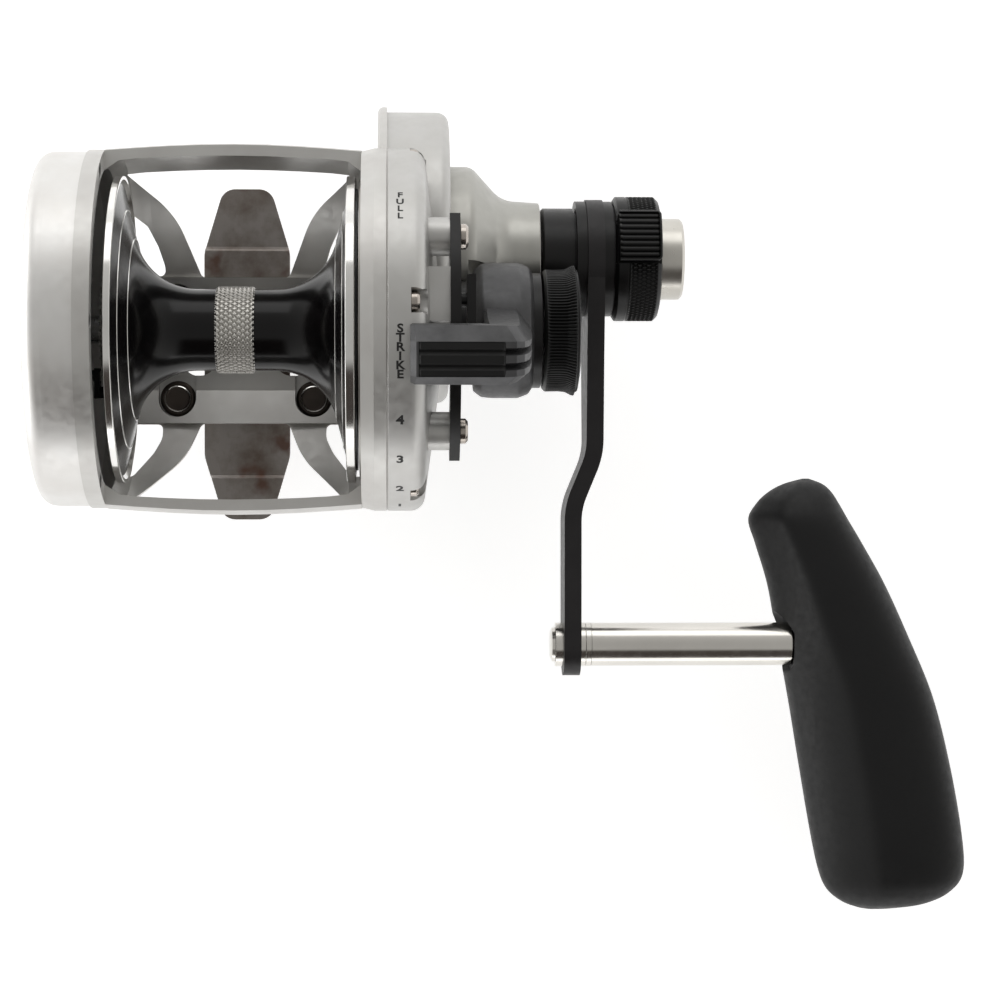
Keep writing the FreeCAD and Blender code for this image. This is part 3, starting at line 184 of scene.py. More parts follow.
class Shade:
    """A Principled material with its nodes added one call at a time."""

    def __init__(self, name, **constants):
        self.material = bpy.data.materials.new(name)
        self.material.use_nodes = True
        self.tree = self.material.node_tree
        self.shader = self.tree.nodes["Principled BSDF"]
        for socket, value in constants.items():
            self.shader.inputs[socket.replace("_", " ")].default_value = value
        self.coords = self.tree.nodes.new("ShaderNodeTexCoord").outputs["Object"]

    def link(self, a, b):
        self.tree.links.new(a, b)

    def stretched(self, scale, about=None):
        """Object coordinates times scale; with about, they are first (along X, radius, 0) round that."""
        source = self.coords
        if about is not None:
            split = self.tree.nodes.new("ShaderNodeSeparateXYZ")
            self.link(source, split.inputs[0])
            flat = self.tree.nodes.new("ShaderNodeCombineXYZ")
            self.link(split.outputs["Y"], flat.inputs["Y"])
            self.link(split.outputs["Z"], flat.inputs["Z"])
            gap = self.tree.nodes.new("ShaderNodeVectorMath")
            gap.operation = "DISTANCE"
            self.link(flat.outputs[0], gap.inputs[0])
            gap.inputs[1].default_value = (0, about[0] * MM, about[1] * MM)
            joined = self.tree.nodes.new("ShaderNodeCombineXYZ")
            self.link(split.outputs["X"], joined.inputs["X"])
            self.link(gap.outputs["Value"], joined.inputs["Y"])
            source = joined.outputs[0]
        mapping = self.tree.nodes.new("ShaderNodeMapping")
        mapping.inputs["Scale"].default_value = scale
        self.link(source, mapping.inputs["Vector"])
        return mapping.outputs[0]

    def noise(self, scale, detail=4.0, vector=None, rough=0.55):
        node = self.tree.nodes.new("ShaderNodeTexNoise")
        node.inputs["Scale"].default_value = scale
        node.inputs["Detail"].default_value = detail
        node.inputs["Roughness"].default_value = rough
        self.link(vector or self.coords, node.inputs["Vector"])
        return node.outputs["Fac"]

    def spread(self, value, low, high, start=0.3, end=0.7):
        node = self.tree.nodes.new("ShaderNodeMapRange")
        node.inputs["From Min"].default_value = start
        node.inputs["From Max"].default_value = end
        node.inputs["To Min"].default_value = low
        node.inputs["To Max"].default_value = high
        self.link(value, node.inputs["Value"])
        return node.outputs[0]

    def blend(self, factor, one, other):
        node = self.tree.nodes.new("ShaderNodeMix")
        node.data_type = "RGBA"
        self.link(factor, node.inputs["Factor"])
        for value, socket in ((one, node.inputs["A"]), (other, node.inputs["B"])):
            if isinstance(value, tuple):
                socket.default_value = value
            else:
                self.link(value, socket)
        return node.outputs["Result"]

    def colour(self, value):
        self.link(value, self.shader.inputs["Base Color"])

    def roughness(self, value):
        self.link(value, self.shader.inputs["Roughness"])

    def bump(self, height, distance):
        node = self.tree.nodes.new("ShaderNodeBump")
        node.inputs["Strength"].default_value = 1.0
        node.inputs["Distance"].default_value = distance
        self.link(height, node.inputs["Height"])
        self.link(node.outputs[0], self.shader.inputs["Normal"])


def metal(name, light, dark, rough, grain=9000, depth=0.000004, about=None, cloud=60, **constants):
    """Bare or clear-anodised metal: a fine blasted or turned grain, and faint clouds in its colour."""
    shade = Shade(name, **{"Metallic": 1.0, **constants})
    patches = shade.spread(shade.noise(cloud, 3), 0, 1, 0.35, 0.65)
    shade.colour(shade.blend(patches, light, dark))
    if about is None:
        fine = shade.noise(grain, 2)
    else:
        fine = shade.noise(1, 3, shade.stretched((grain * 0.5, grain * 0.5, 1), about=about))
    smudge = shade.noise(cloud * 6, 4)
    shade.roughness(shade.spread(smudge, rough * 0.88, rough * 1.14))
    shade.bump(fine, depth)
    return shade.material


def dark_finish(name, light, dark, rough, grain=7000, depth=0.000005, metallic=0.0, **constants):
    """Black or grey anodising, paint or rubber."""
    shade = Shade(name, Metallic=metallic, **constants)
    patches = shade.spread(shade.noise(90, 4), 0, 1, 0.35, 0.65)
    shade.colour(shade.blend(patches, light, dark))
    shade.roughness(shade.spread(shade.noise(500, 4), rough * 0.86, rough * 1.16))
    shade.bump(shade.noise(grain, 2), depth)
    return shade.material


def stained_steel():
    """The foot: dull grey steel, with soft brown stains and a few rusty specks."""
    shade = Shade("foot_stained_steel", Metallic=0.9)
    stains = shade.spread(shade.noise(55, 5, rough=0.62), 0, 1, 0.4, 0.66)
    base = shade.blend(stains, ink(142, 137, 133), ink(102, 91, 83))
    rust = shade.spread(shade.noise(95, 3, rough=0.5), 0, 0.8, 0.6, 0.72)
    shade.colour(shade.blend(rust, base, ink(92, 66, 56)))
    brushed = shade.noise(1, 4, shade.stretched((5200, 260, 900)))
    shade.roughness(shade.spread(brushed, 0.36, 0.5))
    shade.bump(brushed, 0.000004)
    return shade.material


def carbon_weave():
    """The drag washer: dark carbon cloth under a thin clear coat."""
    shade = Shade("drag_carbon", Metallic=0.0, Coat_Weight=0.3)
    check = shade.tree.nodes.new("ShaderNodeTexChecker")
    check.inputs["Scale"].default_value = 900
    check.inputs["Color1"].default_value = ink(40, 40, 42)
    check.inputs["Color2"].default_value = ink(24, 24, 26)
    shade.link(shade.coords, check.inputs["Vector"])
    shade.colour(check.outputs["Color"])
    shade.roughness(shade.spread(shade.noise(2500, 3), 0.35, 0.6))
    shade.bump(check.outputs["Fac"], 0.00002)
    return shade.material


def make_materials():
    """Every finish by a short name."""
    return {
        "satin": metal("satin_silver", ink(222, 221, 219), ink(216, 214, 211), 0.42, Metallic=0.85),
        # The gear side's cover: the left plate's satin metal in a darker copy, as painted shade.
        "cover": metal("cover_silver_shaded", ink(193, 192, 190), ink(187, 186, 183), 0.43, Metallic=0.85),
        "case": metal("case_silver", ink(206, 205, 201), ink(199, 198, 194), 0.42, Metallic=0.85),
        # Turned metal for the boss; its colour is darker than the case's as painted shade, the turned grain
        # is real.
        "boss": metal("boss_turned_shaded", ink(172, 171, 166), ink(165, 164, 159), 0.38, depth=0.000002,
                      about=HANDLE),
        "frame": metal("frame_satin", ink(202, 201, 198), ink(194, 192, 189), 0.42, Metallic=0.85),
        "bright": metal("bright_cut", ink(236, 235, 232), ink(228, 227, 224), 0.14, about=SPOOL),
        "knurl": metal("knurled_band", ink(204, 202, 197), ink(186, 183, 178), 0.26),
        "chrome": metal("spindle_chrome", ink(222, 219, 213), ink(216, 213, 207), 0.2, depth=0.0000005),
        "button": metal("button_turned", ink(202, 199, 192), ink(194, 191, 184), 0.3, depth=0.000002,
                        about=HANDLE),
        "screw": metal("screw_steel", ink(186, 179, 172), ink(166, 158, 150), 0.22),
        "steel": metal("ground_steel", ink(196, 196, 196), ink(180, 180, 180), 0.25),
        "gear": metal("gear_steel", ink(186, 183, 178), ink(168, 164, 158), 0.35),
        "brass": metal("pinion_brass", ink(206, 176, 116), ink(188, 158, 98), 0.3),
        "stud": metal("stud_dark", ink(92, 84, 78), ink(72, 66, 62), 0.42),
        "foot": stained_steel(),
        "spool": dark_finish("spool_gloss", ink(14, 12, 13), ink(10, 9, 10), 0.19, depth=0.0000004,
                             Specular_IOR_Level=0.27),
        "anodised": dark_finish("black_anodised", ink(20, 19, 19), ink(15, 14, 14), 0.36,
                                Specular_IOR_Level=0.3),
        "lever": dark_finish("lever_blasted", ink(88, 88, 89), ink(76, 76, 77), 0.44, grain=4200,
                             depth=0.00003, metallic=0.85),
        "insert": dark_finish("insert_rubber", ink(17, 17, 17), ink(13, 13, 13), 0.5,
                              Specular_IOR_Level=0.3),
        "knob": dark_finish("knob_anodised", ink(12, 12, 12), ink(9, 9, 9), 0.34, Specular_IOR_Level=0.25),
        "arm": dark_finish("arm_anodised", ink(36, 34, 35), ink(30, 28, 29), 0.42, Specular_IOR_Level=0.3),
        "tab": dark_finish("tab_plastic", ink(16, 16, 16), ink(12, 12, 12), 0.4, Specular_IOR_Level=0.3),
        "grip": dark_finish("grip_rubber", ink(14, 14, 15), ink(11, 11, 12), 0.5, grain=5200,
                            depth=0.000012, Specular_IOR_Level=0.3),
        # Black print for the scale, also used as painted shade inside the screw sockets and on the clicker
        # cap's edge.
        "paint": dark_finish("scale_print_and_shade", ink(26, 25, 25), ink(20, 19, 19), 0.5),
        "carbon": carbon_weave(),
    }


FINISH = {
    "satin": ["left_side_plate"],
    "cover": ["gear_side_cover"],
    "case": ["clicker_button"],
    "boss": ["drive_boss"],
    "frame": ["frame", "gear_plate"],
    "bright": ["click_wheel"],
    "knurl": ["arbor_band"],
    "chrome": ["grip_spindle", "grip_washers", "grip_rivet"],
    "button": ["shift_button"],
    "screw": ["foot_screws", "cover_screws", "quadrant_screws", "gear_plate_screws"],
    "steel": ["spool_shaft", "spring_washers", "preset_nut", "inner_pinion_bearing",
              "outer_pinion_bearing", "inner_drive_bearing", "middle_drive_bearing",
              "outer_drive_bearing", "left_spool_bearing", "right_spool_bearing", "thrust_bearing",
              "grip_bearings", "dog_pins", "drive_shaft", "shift_rod"],
    "gear": ["drive_plate", "low_gear", "high_gear", "ratchet_wheel", "front_dog", "lower_dog",
             "gear_spacer"],
    "brass": ["low_pinion", "high_pinion"],
    "stud": ["clamp_studs"],
    "foot": ["foot"],
    "spool": ["spool"],
    "carbon": ["drag_washer"],
    "anodised": ["drag_quadrant", "drag_cam", "strike_button", "lever_hub_ring", "crank_collar",
                 "lock_ring", "left_plate_screws", "click_tongue"],
    "lever": ["drag_lever"],
    "insert": ["lever_grip_insert"],
    "knob": ["preset_knob", "crank_drum"],
    "arm": ["crank_arm"],
    "tab": ["shift_tab"],
    "grip": ["grip"],
}


def finish_nodes(made):
    """Gives every CAD node its finish, and stops if one has none."""
    left = set(NODES)
    for finish, names in FINISH.items():
        for name in names:
            NODES[name].data.materials.clear()
            NODES[name].data.materials.append(made[finish])
            left.discard(name)
    if left:
        raise SystemExit(f"no finish for {sorted(left)}")


# ---------------------------------------------------------------- mesh building


def add_piece(name, points, faces, body, shades, stands_for=(), slot=None, face_shades=None, sharp=30):
    """A closed mesh in millimetres, welded, smooth apart from its sharp edges, riding on a CAD body."""
    mesh = bpy.data.meshes.new(name)
    mesh.from_pydata([tuple(value * MM for value in point) for point in points], [], faces)
    if face_shades is not None:
        mesh.polygons.foreach_set("material_index", face_shades)
    work = bmesh.new()
    work.from_mesh(mesh)
    bmesh.ops.remove_doubles(work, verts=work.verts, dist=WELD)
    bmesh.ops.dissolve_degenerate(work, edges=work.edges, dist=SLIVER)
    bmesh.ops.recalc_face_normals(work, faces=work.faces)
    work.to_mesh(mesh)
    work.free()
    for shade in shades:
        mesh.materials.append(shade)
    smooth(mesh, sharp)
    piece = bpy.data.objects.new(name, mesh)
    bpy.context.scene.collection.objects.link(piece)
    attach(piece, body)
    if stands_for:
        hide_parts(*stands_for)
    return piece


def smooth(mesh, sharp):
    """Smooth shading, apart from edges that turn by more than so many degrees."""
    mesh.polygons.foreach_set("use_smooth", [True] * len(mesh.polygons))
    mesh.set_sharp_from_angle(angle=math.radians(sharp))
    mesh.update()


def joined(piece, tool, operation):
    """The piece's mesh joined with, or cut by, the tool's; the tool goes away."""
    change = piece.modifiers.new("join", "BOOLEAN")
    change.operation = operation
    change.solver = "EXACT"
    change.object = tool
    bpy.context.view_layer.update()
    made = bpy.data.meshes.new_from_object(piece.evaluated_get(bpy.context.evaluated_depsgraph_get()))
    piece.modifiers.clear()
    piece.data = made
    bpy.data.objects.remove(tool)
    return piece


LARGE_CORNER = 5.0         # a corner's radius above which it counts as large
# The share of the runs beside it that a large or small corner may use, and the degrees in each step.
LARGE_USE, SMALL_USE = (0.98, 3), (0.48, 9)
SHORTEST_ROUND = 0.01


def soft(outline, radius, steps=4):
    """A closed (along, radius, shade) outline, rounded; a fourth value sets a corner's own radius."""
    made = []
    for i, corner in enumerate(outline):
        before, after = Vector(outline[i - 1][:2]), Vector(outline[(i + 1) % len(outline)][:2])
        here, shade = Vector(corner[:2]), corner[2]
        wanted = corner[3] if len(corner) > 3 else radius
        into, out = here - before, after - here
        turn = into.angle(out) if into.length and out.length else 0
        share, degrees = LARGE_USE if wanted > LARGE_CORNER else SMALL_USE
        reach = min(wanted * math.tan(turn / 2), into.length * share, out.length * share)
        if here.y < CLOSE or reach < SHORTEST_ROUND:
            made.append((here.x, here.y, shade))
            continue
        start, end = here - into.normalized() * reach, here + out.normalized() * reach
        count = max(steps, round(math.degrees(turn) / degrees))
        radius_here = reach / math.tan(turn / 2)
        middle = here + ((start + end) / 2 - here).normalized() * math.hypot(radius_here, reach)
        first, last = start - middle, end - middle
        sweep = math.atan2(first.x * last.y - first.y * last.x, first.dot(last))
        for step in range(count + 1):
            arm = first.copy()
            arm.rotate(Matrix.Rotation(sweep * step / count, 2))
            made.append((middle.x + arm.x, middle.y + arm.y, shade))
    return made


def divided(outline, start, end, step):
    """The outline with extra points, a step apart, on its runs along X between start and end."""
    made = []
    for i, here in enumerate(outline):
        after = outline[(i + 1) % len(outline)]
        made.append(here)
        inside = min(here[0], after[0]) >= start - CLOSE and max(here[0], after[0]) <= end + CLOSE
        count = round(abs(after[0] - here[0]) / step) if inside else 1
        for k in range(1, count):
            spot = Vector(here[:2]).lerp(Vector(after[:2]), k / count)
            made.append((spot.x, spot.y, here[2]))
    return made


def turned(axis, outline, steps, ripple=None, place=None):
    """Points, faces and shades of a closed (along X, radius, shade) outline turned about a line."""
    points, faces, face_shades = [], [], []
    count = len(outline)
    for step in range(steps):
        angle = math.tau * step / steps
        for along, radius, _ in outline:
            reach = ripple(along, radius, angle) if ripple else radius
            point = (along, axis[0] - reach * math.sin(angle), axis[1] + reach * math.cos(angle))
            points.append(place(point) if place else point)
    for step in range(steps):
        here, there = step * count, (step + 1) % steps * count
        for i in range(count):
            j = (i + 1) % count
            if outline[i][1] < CLOSE and outline[j][1] < CLOSE:
                continue
            faces.append((here + i, here + j, there + j, there + i))
            face_shades.append(outline[i][2])
    return points, faces, face_shades


def lathe(name, axis, outline, steps, body, shades, ripple=None, place=None, **options):
    """One turned piece; ripple changes the radius at an angle, place moves each point."""
    points, faces, face_shades = turned(axis, outline, steps, ripple, place)
    return add_piece(name, points, faces, body, shades, face_shades=face_shades, **options)


def gathered(shapes):
    """Several shapes' points, faces and shades as one."""
    points, faces, face_shades = [], [], []
    for some_points, some_faces, some_shades in shapes:
        faces += [tuple(len(points) + index for index in face) for face in some_faces]
        points += some_points
        face_shades += some_shades
    return points, faces, face_shades


def diamond(along, angle, pitch, count, fill=1.5):
    """Height from 0 to 1 of a knurl of diamonds, so long along X and so many round."""
    turns = angle / math.tau * count
    first, second = turns + along / pitch, turns - along / pitch
    edge = max(abs(first % 1 - 0.5), abs(second % 1 - 0.5)) * 2
    return min(1.0, (1 - edge) * fill)


def behind(axis, reach, degrees):
    """Y and Z at a reach from a line along X, this many degrees behind straight up."""
    angle = math.radians(degrees)
    return (axis[0] - reach * math.sin(angle), axis[1] + reach * math.cos(angle))


def tilted(point):
    """A point of the upright lever, leant back about the spool's axis."""
    x, y, z = point
    lean = math.radians(LEVER_TILT)
    forward = y * math.cos(lean) - z * math.sin(lean)
    up = y * math.sin(lean) + z * math.cos(lean)
    return (x, SPOOL[0] + forward, SPOOL[1] + up)


def tube_of(rings):
    """Points and faces of a closed tube through rings of as many points each."""
    count = len(rings[0])
    points = [point for ring in rings for point in ring]
    faces = []
    for k in range(len(rings) - 1):
        for i in range(count):
            j = (i + 1) % count
            faces.append((k * count + i, k * count + j, (k + 1) * count + j, (k + 1) * count + i))
    faces.append(tuple(range(count)))
    faces.append(tuple(len(points) - count + i for i in range(count)))
    return points, faces


# ---------------------------------------------------------------- spool


BRIGHT_RINGS = (33.7, 25.6)    # radius of each bright line cut in the flanges' inner faces


def make_spool(made):
    """Dished black flanges with bright rims and two bright cut lines each."""
    black, bright = 0, 1
    arbor, arbor_half, dish, dish_half = 11.6, 24.9, 41.4, 32.4
    slope = (dish_half - arbor_half) / (dish - arbor)
    ring_half, ring_depth = 0.2, 0.16

    def face(side, radius, lift=0.0):
        return side * (dish_half - (dish - radius) * slope - lift)

    def cut_line(side, ring):
        floor = ring_half * 0.7
        return [(face(side, ring + ring_half), ring + ring_half, bright),
                (face(side, ring + floor, ring_depth), ring + floor, bright),
                (face(side, ring - floor, ring_depth), ring - floor, bright),
                (face(side, ring - ring_half), ring - ring_half, black)]

    def shaded_backwards(run):
        """A run turned round, with each face keeping its own shade."""
        turned_round = run[::-1]
        shades = [shade for _, _, shade in turned_round[1:]] + [black]
        return [(x, r, shade) for (x, r, _), shade in zip(turned_round, shades)]

    left = [(-37.6, 8.5, black), (-37.6, 10.0, black), (-35.5, 10.0, black), (-33.7, 16.0, black),
            (-32.7, 36.0, black), (-33.5, 38.0, bright), (-33.5, 43.6, bright, 0.35),
            (-31.4, 43.6, bright, 0.35), (-31.4, 42.4, bright), (-dish_half, dish, black)]
    for ring in BRIGHT_RINGS:
        left += cut_line(-1, ring)
    left.append((-arbor_half, arbor, black, 18.0))
    right = [(arbor_half, arbor, black, 18.0)]
    for ring in reversed(BRIGHT_RINGS):
        right += shaded_backwards(cut_line(1, ring))
    right += [(dish_half, dish, bright), (31.4, 42.4, bright), (31.4, 43.6, bright, 0.35),
              (34.0, 43.6, bright, 0.35), (34.0, 41.0, bright), (33.0, 40.6, black), (33.0, 8.5, black),
              (29.4, 8.5, black), (29.4, 6.0, black), (-33.3, 6.0, black), (-33.3, 8.5, black)]
    lathe("spool_body", SPOOL, soft(left + right, 0.12, 3), 192, "spool", [made["spool"], made["bright"]],
          stands_for=["spool"], slot="spool_black", sharp=28)

    start, end, inner, outer = -5.6, 5.4, 11.62, 12.3
    pitch, round_count, depth, fill, fade = 2.4, 48, 0.46, 2.2, 0.5

    def knurl(along, radius, angle):
        if radius < outer - 0.1:
            return radius
        edge = min(1.0, (along - start) / fade, (end - along) / fade)
        return radius - depth * (1 - diamond(along, angle, pitch, round_count, fill) * edge)

    band = [(start, inner, 0), (start, outer, 0), (end, outer, 0), (end, inner, 0)]
    lathe("spool_band", SPOOL, divided(band, start, end, pitch / 14), round_count * 12, "spool",
          [made["knurl"]], knurl, stands_for=["arbor_band"], slot="band_metal", sharp=60)


# ---------------------------------------------------------------- drive boss


def make_boss(made):
    """The boss on the gear case: a rounded base that flares down into its neck."""
    outline = [(58.4, 20.0, 0), (58.4, 23.9, 0), (60.7, 23.9, 0), (60.7, 27.0, 0), (67.4, 27.0, 0, 4.5),
               (76.4, 17.1, 0, 9.0), (87.5, 16.4, 0, 0.5), (87.5, 12.0, 0), (63.0, 12.0, 0),
               (63.0, 20.0, 0)]
    boss = lathe("drive_boss_flared", HANDLE, soft(outline, 0.1, 8), 160, "reel_frame", [made["boss"]],
                 stands_for=["drive_boss"], slot="boss_metal")
    for name, start, end, radius in (("lever_relief", 66.0, 90.0, 20.3), ("tower_relief", 58.0, 68.7, 15.1)):
        room = [(start, 0, 0), (start, radius, 0), (end, radius, 0), (end, 0, 0)]
        joined(boss, lathe(name, SPOOL, room, 128, "reel_frame", [made["boss"]]), "DIFFERENCE")
    smooth(boss.data, 30)


# ---------------------------------------------------------------- drag knob, drum and tab


def make_preset_knob(made):
    """A knob that flares outwards, with fine straight ribs and a plain domed face."""
    ribs, depth, flat = 116, 0.4, 0.35
    ribs_from, ribs_to, ribs_within = 87.7, 96.0, 16.6

    def ribbed(along, radius, angle):
        if radius < ribs_within or not ribs_from < along < ribs_to:
            return radius
        fade = min(1.0, (along - ribs_from) / 0.5, (ribs_to - along) / 0.4)
        wave = abs((angle / math.tau * ribs) % 1 - 0.5) * 2
        return radius - depth * fade * max(0.0, wave - flat) / (1 - flat)

    outline = [(86.9, 4.1, 0), (86.9, 16.6, 0, 0.5), (87.7, 17.4, 0, 0.5), (91.6, 17.35, 0),
               (93.6, 17.55, 0, 3.0), (95.2, 18.45, 0, 2.0), (96.0, 18.6, 0), (96.2, 17.6, 0, 0.2),
               (96.9, 17.4, 0, 0.8), (97.4, 14.5, 0, 1.5), (97.4, 0, 0), (95.1, 0, 0), (95.1, 4.1, 0)]
    lathe("preset_knob_ribbed", SPOOL, divided(soft(outline, 0.2), 87.6, 96.2, 0.45), ribs * 6,
          "preset_knob", [made["knob"]], ribbed, stands_for=["preset_knob"], slot="knob_black", sharp=50)


def make_drum(made):
    """A knurled cup for the gear button, flattened on top where the thumb tab sits."""
    y, z = HANDLE
    knurl_from, knurl_to, knurl_within = 113.6, 121.4, 17.5
    pitch, round_count, depth, fade = 2.6, 93, 0.42, 0.3
    pocket_from, pocket_back, pocket_front, pocket_floor = 109.6, -2.5, 13.5, 14.0

    def knurl(along, radius, angle):
        if radius < knurl_within or not knurl_from < along < knurl_to:
            return radius
        edge = min(1.0, (along - knurl_from) / fade, (knurl_to - along) / fade)
        return radius - depth * (1 - diamond(along - knurl_from, angle, pitch, round_count)) * edge

    def pocketed(point):
        over = pocket_back < point[1] - y < pocket_front and point[0] > pocket_from
        if over and point[2] - z > pocket_floor:
            return (point[0], point[1], z + pocket_floor)
        return point

    outline = [(109.3, 6.0, 0), (109.3, 17.2, 0, 0.4), (110.1, 18.4, 0, 0.5), (112.9, 18.4, 0, 0.1),
               (113.0, 18.15, 0, 0.05), (113.3, 18.15, 0, 0.05), (113.4, 18.4, 0, 0.1),
               (121.4, 18.4, 0, 0.9), (122.6, 17.2, 0, 0.9),
               (123.0, 15.6, 0, 0.4), (123.0, 12.3, 0), (110.6, 12.3, 0), (110.6, 6.0, 0)]
    lathe("crank_drum_knurled", HANDLE, divided(soft(outline, 0.15), 113.3, 121.8, 0.26), round_count * 8,
          "crank", [made["knob"]], knurl, pocketed, stands_for=["crank_drum"], slot="knob_black", sharp=40)


def make_tab(made):
    """A curved thumb pad: a rounded rim on three sides, and ribs that run out at the open side."""
    y, z = HANDLE
    low_x, high_x, low_y, high_y = 110.2, 122.5, -2.0, 13.0
    across, along = 84, 120
    rim, corner, ribs = 0.85, 1.4, 8
    rim_reach, rim_drop, rim_flat = 21.55, 0.55, 0.35
    rib_foot, rib_rise, underside = 20.55, 0.72, 15.8

    def plan(u, v):
        """A rounded rectangle's point for two shares."""
        px, py = low_x + (high_x - low_x) * u, low_y + (high_y - low_y) * v
        for cy, way in ((low_y + corner, -1), (high_y - corner, 1)):
            dx, dy = px - (high_x - corner), py - cy
            if dx > 0 and dy * way > 0:
                reach = max(dx, abs(dy))
                scale = reach / math.hypot(dx, dy)
                px, py = high_x - corner + dx * scale, cy + dy * scale
        return px, py

    def height(u, v):
        px, py = low_x + (high_x - low_x) * u, low_y + (high_y - low_y) * v
        inset = min(high_x - px, py - low_y, high_y - py)
        if inset < rim:
            share = inset / rim
            return rim_reach - rim_drop * max(0.0, abs(share - 0.5) * 2 - rim_flat) ** 2 / 0.42
        wave = (py - low_y - rim) / (high_y - low_y - 2 * rim) * ribs % 1
        rib = max(0.0, math.sin(math.pi * wave)) ** 0.6
        run_in = min(1.0, (inset - rim) / 0.35)
        base = rib_foot + rib_rise * rib - 0.25 * (1 - run_in)
        return base - 0.9 * max(0.0, 1 - (px - low_x) / 0.8) ** 2

    points, faces = [], []
    for i in range(across + 1):
        for j in range(along + 1):
            px, py = plan(i / across, j / along)
            reach = height(i / across, j / along)
            points.append((px, y + py, z + math.sqrt(reach ** 2 - py ** 2)))
    top = len(points)
    points += [(x, yy, z + underside) for x, yy, _ in points]
    row = along + 1
    for i in range(across):
        for j in range(along):
            corner_at = i * row + j
            quad = (corner_at, corner_at + row, corner_at + row + 1, corner_at + 1)
            faces += [quad, tuple(top + k for k in reversed(quad))]
    for i in range(across):
        for j in (0, along):
            faces.append((i * row + j, (i + 1) * row + j, top + (i + 1) * row + j, top + i * row + j))
    for j in range(along):
        for i in (0, across):
            faces.append((i * row + j, i * row + j + 1, top + i * row + j + 1, top + i * row + j))
    add_piece("shift_tab_ribbed", points, faces, "shift_tab", [made["tab"]], ["shift_tab"], "tab_black",
              sharp=45)


# ---------------------------------------------------------------- drag lever


def make_lever(made):
    """A turned hub and a forged arm with a channel for the insert and two flutes down its outer side."""
    hub = [(67.3, 14.5, 0), (67.3, 17.3, 0, 0.6), (69.5, 19.0, 0, 1.8), (72.5, 19.3, 0, 4),
           (80.0, 19.3, 0, 3), (82.9, 18.2, 0, 1.6), (84.0, 16.6, 0, 0.6), (84.0, 13.0, 0),
           (74.0, 13.0, 0), (74.0, 5.2, 0), (72.0, 5.2, 0), (72.0, 14.5, 0)]
    lever = lathe("drag_lever_forged", SPOOL, soft(hub, 0.25), 128, "drag_lever", [made["lever"]],
                  stands_for=["drag_lever"], slot="lever_grey")
    stations = [((48.9, 58.2), (48.9, 52.8), 7.6, 0), ((50.5, 60.0), (49.3, 52.3), 7.9, 0),
                ((51.1, 60.0), (50.5, 52.3), 7.9, 0), ((51.15, 60.0), (50.6, 52.3), 7.9, 1),
                ((74.0, 60.0), (64.5, 52.3), 7.9, 1), ((74.05, 60.0), (64.6, 52.3), 7.9, 2),
                ((77.0, 59.3), (66.6, 51.4), 7.8, 2), ((79.2, 57.2), (68.0, 49.6), 7.5, 2),
                ((80.6, 53.4), (68.9, 47.0), 7.1, 2), ((81.5, 47.0), (69.4, 43.0), 6.7, 2),
                ((82.1, 38.0), (69.5, 36.0), 6.4, 2), ((82.4, 28.0), (69.5, 28.0), 6.5, 2),
                ((82.3, 21.0), (69.5, 21.0), 7.2, 2), ((81.8, 16.4), (69.5, 16.4), 8.4, 0)]
    widest, chamfer = 7.9, 1.0
    across = [-widest, -5.6, -5.5, -3.9, -2.9, -1.9, -0.9, 0.1, 1.1, 2.1, 3.7, 3.8, widest]
    depths = {0: [2.6, 0, 0, 0, 0, 0, 0, 0, 0, 0, 0, 0, 3.4],
              1: [2.6, 0, 1.3, 1.3, 1.3, 1.3, 1.3, 1.3, 1.3, 1.3, 1.3, 0, 3.4],
              2: [2.6, 0, 0, 0, 2.4, 0, 0, 0, 2.4, 0, 0, 0, 3.4]}
    rings = []
    for outer, inner, half, kind in stations:
        outer, inner = Vector(outer), Vector(inner)
        inward = (inner - outer).normalized()
        ring = []
        for side, depth in zip(across, depths[kind]):
            spot = outer + inward * depth
            ring.append((spot.x, side * half / widest, spot.y))
        for side in (widest, 6.9, -6.9, -widest):
            spot = inner - inward * (chamfer if abs(side) == widest else 0.0)
            ring.append((spot.x, side * half / widest, spot.y))
        rings.append([tilted(point) for point in ring])
    points, faces = tube_of(rings)
    arm = add_piece("lever_arm", points, faces, "drag_lever", [made["lever"]])
    joined(lever, arm, "UNION")
    smooth(lever.data, 24)
    edge = lever.modifiers.new("edges", "BEVEL")
    edge.width = 0.22 * MM
    edge.segments = 2
    edge.limit_method = "ANGLE"
    edge.angle_limit = math.radians(28)

    ridges = [(-5.45, -1.2), (3.65, -1.2), (3.65, 0.05), (2.0, 0.25), (1.6, -0.15), (1.1, -0.45),
              (0.6, -0.15), (0.2, 0.3), (-2.0, 0.3), (-2.4, -0.15), (-2.9, -0.45), (-3.4, -0.15),
              (-3.8, 0.25), (-5.45, 0.05)]
    channel_floor = 60.0
    low = [(side, min(up, up * 0.4 - 0.2)) for side, up in ridges]
    rings = []
    for x, section in ((51.25, low), (51.6, ridges), (73.6, ridges), (73.95, low)):
        rings.append([tilted((x, side, channel_floor + up)) for side, up in section])
    points, faces = tube_of(rings)
    add_piece("lever_insert_ribbed", points, faces, "drag_lever", [made["insert"]], ["lever_grip_insert"],
              "insert_rubber", sharp=25)


# ---------------------------------------------------------------- grip

# Distance behind the crank's axis, middle along X, half width, half depth.
GRIP_STATIONS = [
    (65.2, 167.4, 1.0, 0.8), (66.8, 166.6, 5.8, 4.8), (69.2, 165.7, 9.3, 7.8), (72.7, 165.0, 12.2, 10.4),
    (77.5, 165.2, 14.7, 12.6), (85.0, 168.5, 15.8, 13.9), (97.0, 173.6, 17.3, 15.3),
    (112.0, 178.3, 19.3, 16.2), (130.0, 183.6, 21.2, 16.7), (150.0, 187.8, 22.1, 16.6),
    (170.0, 191.3, 22.2, 15.9), (182.0, 192.9, 21.3, 14.2), (188.0, 192.3, 18.2, 11.5),
    (191.6, 191.0, 12.6, 8.0), (193.3, 188.8, 6.0, 3.8), (193.9, 187.4, 1.6, 1.0)]
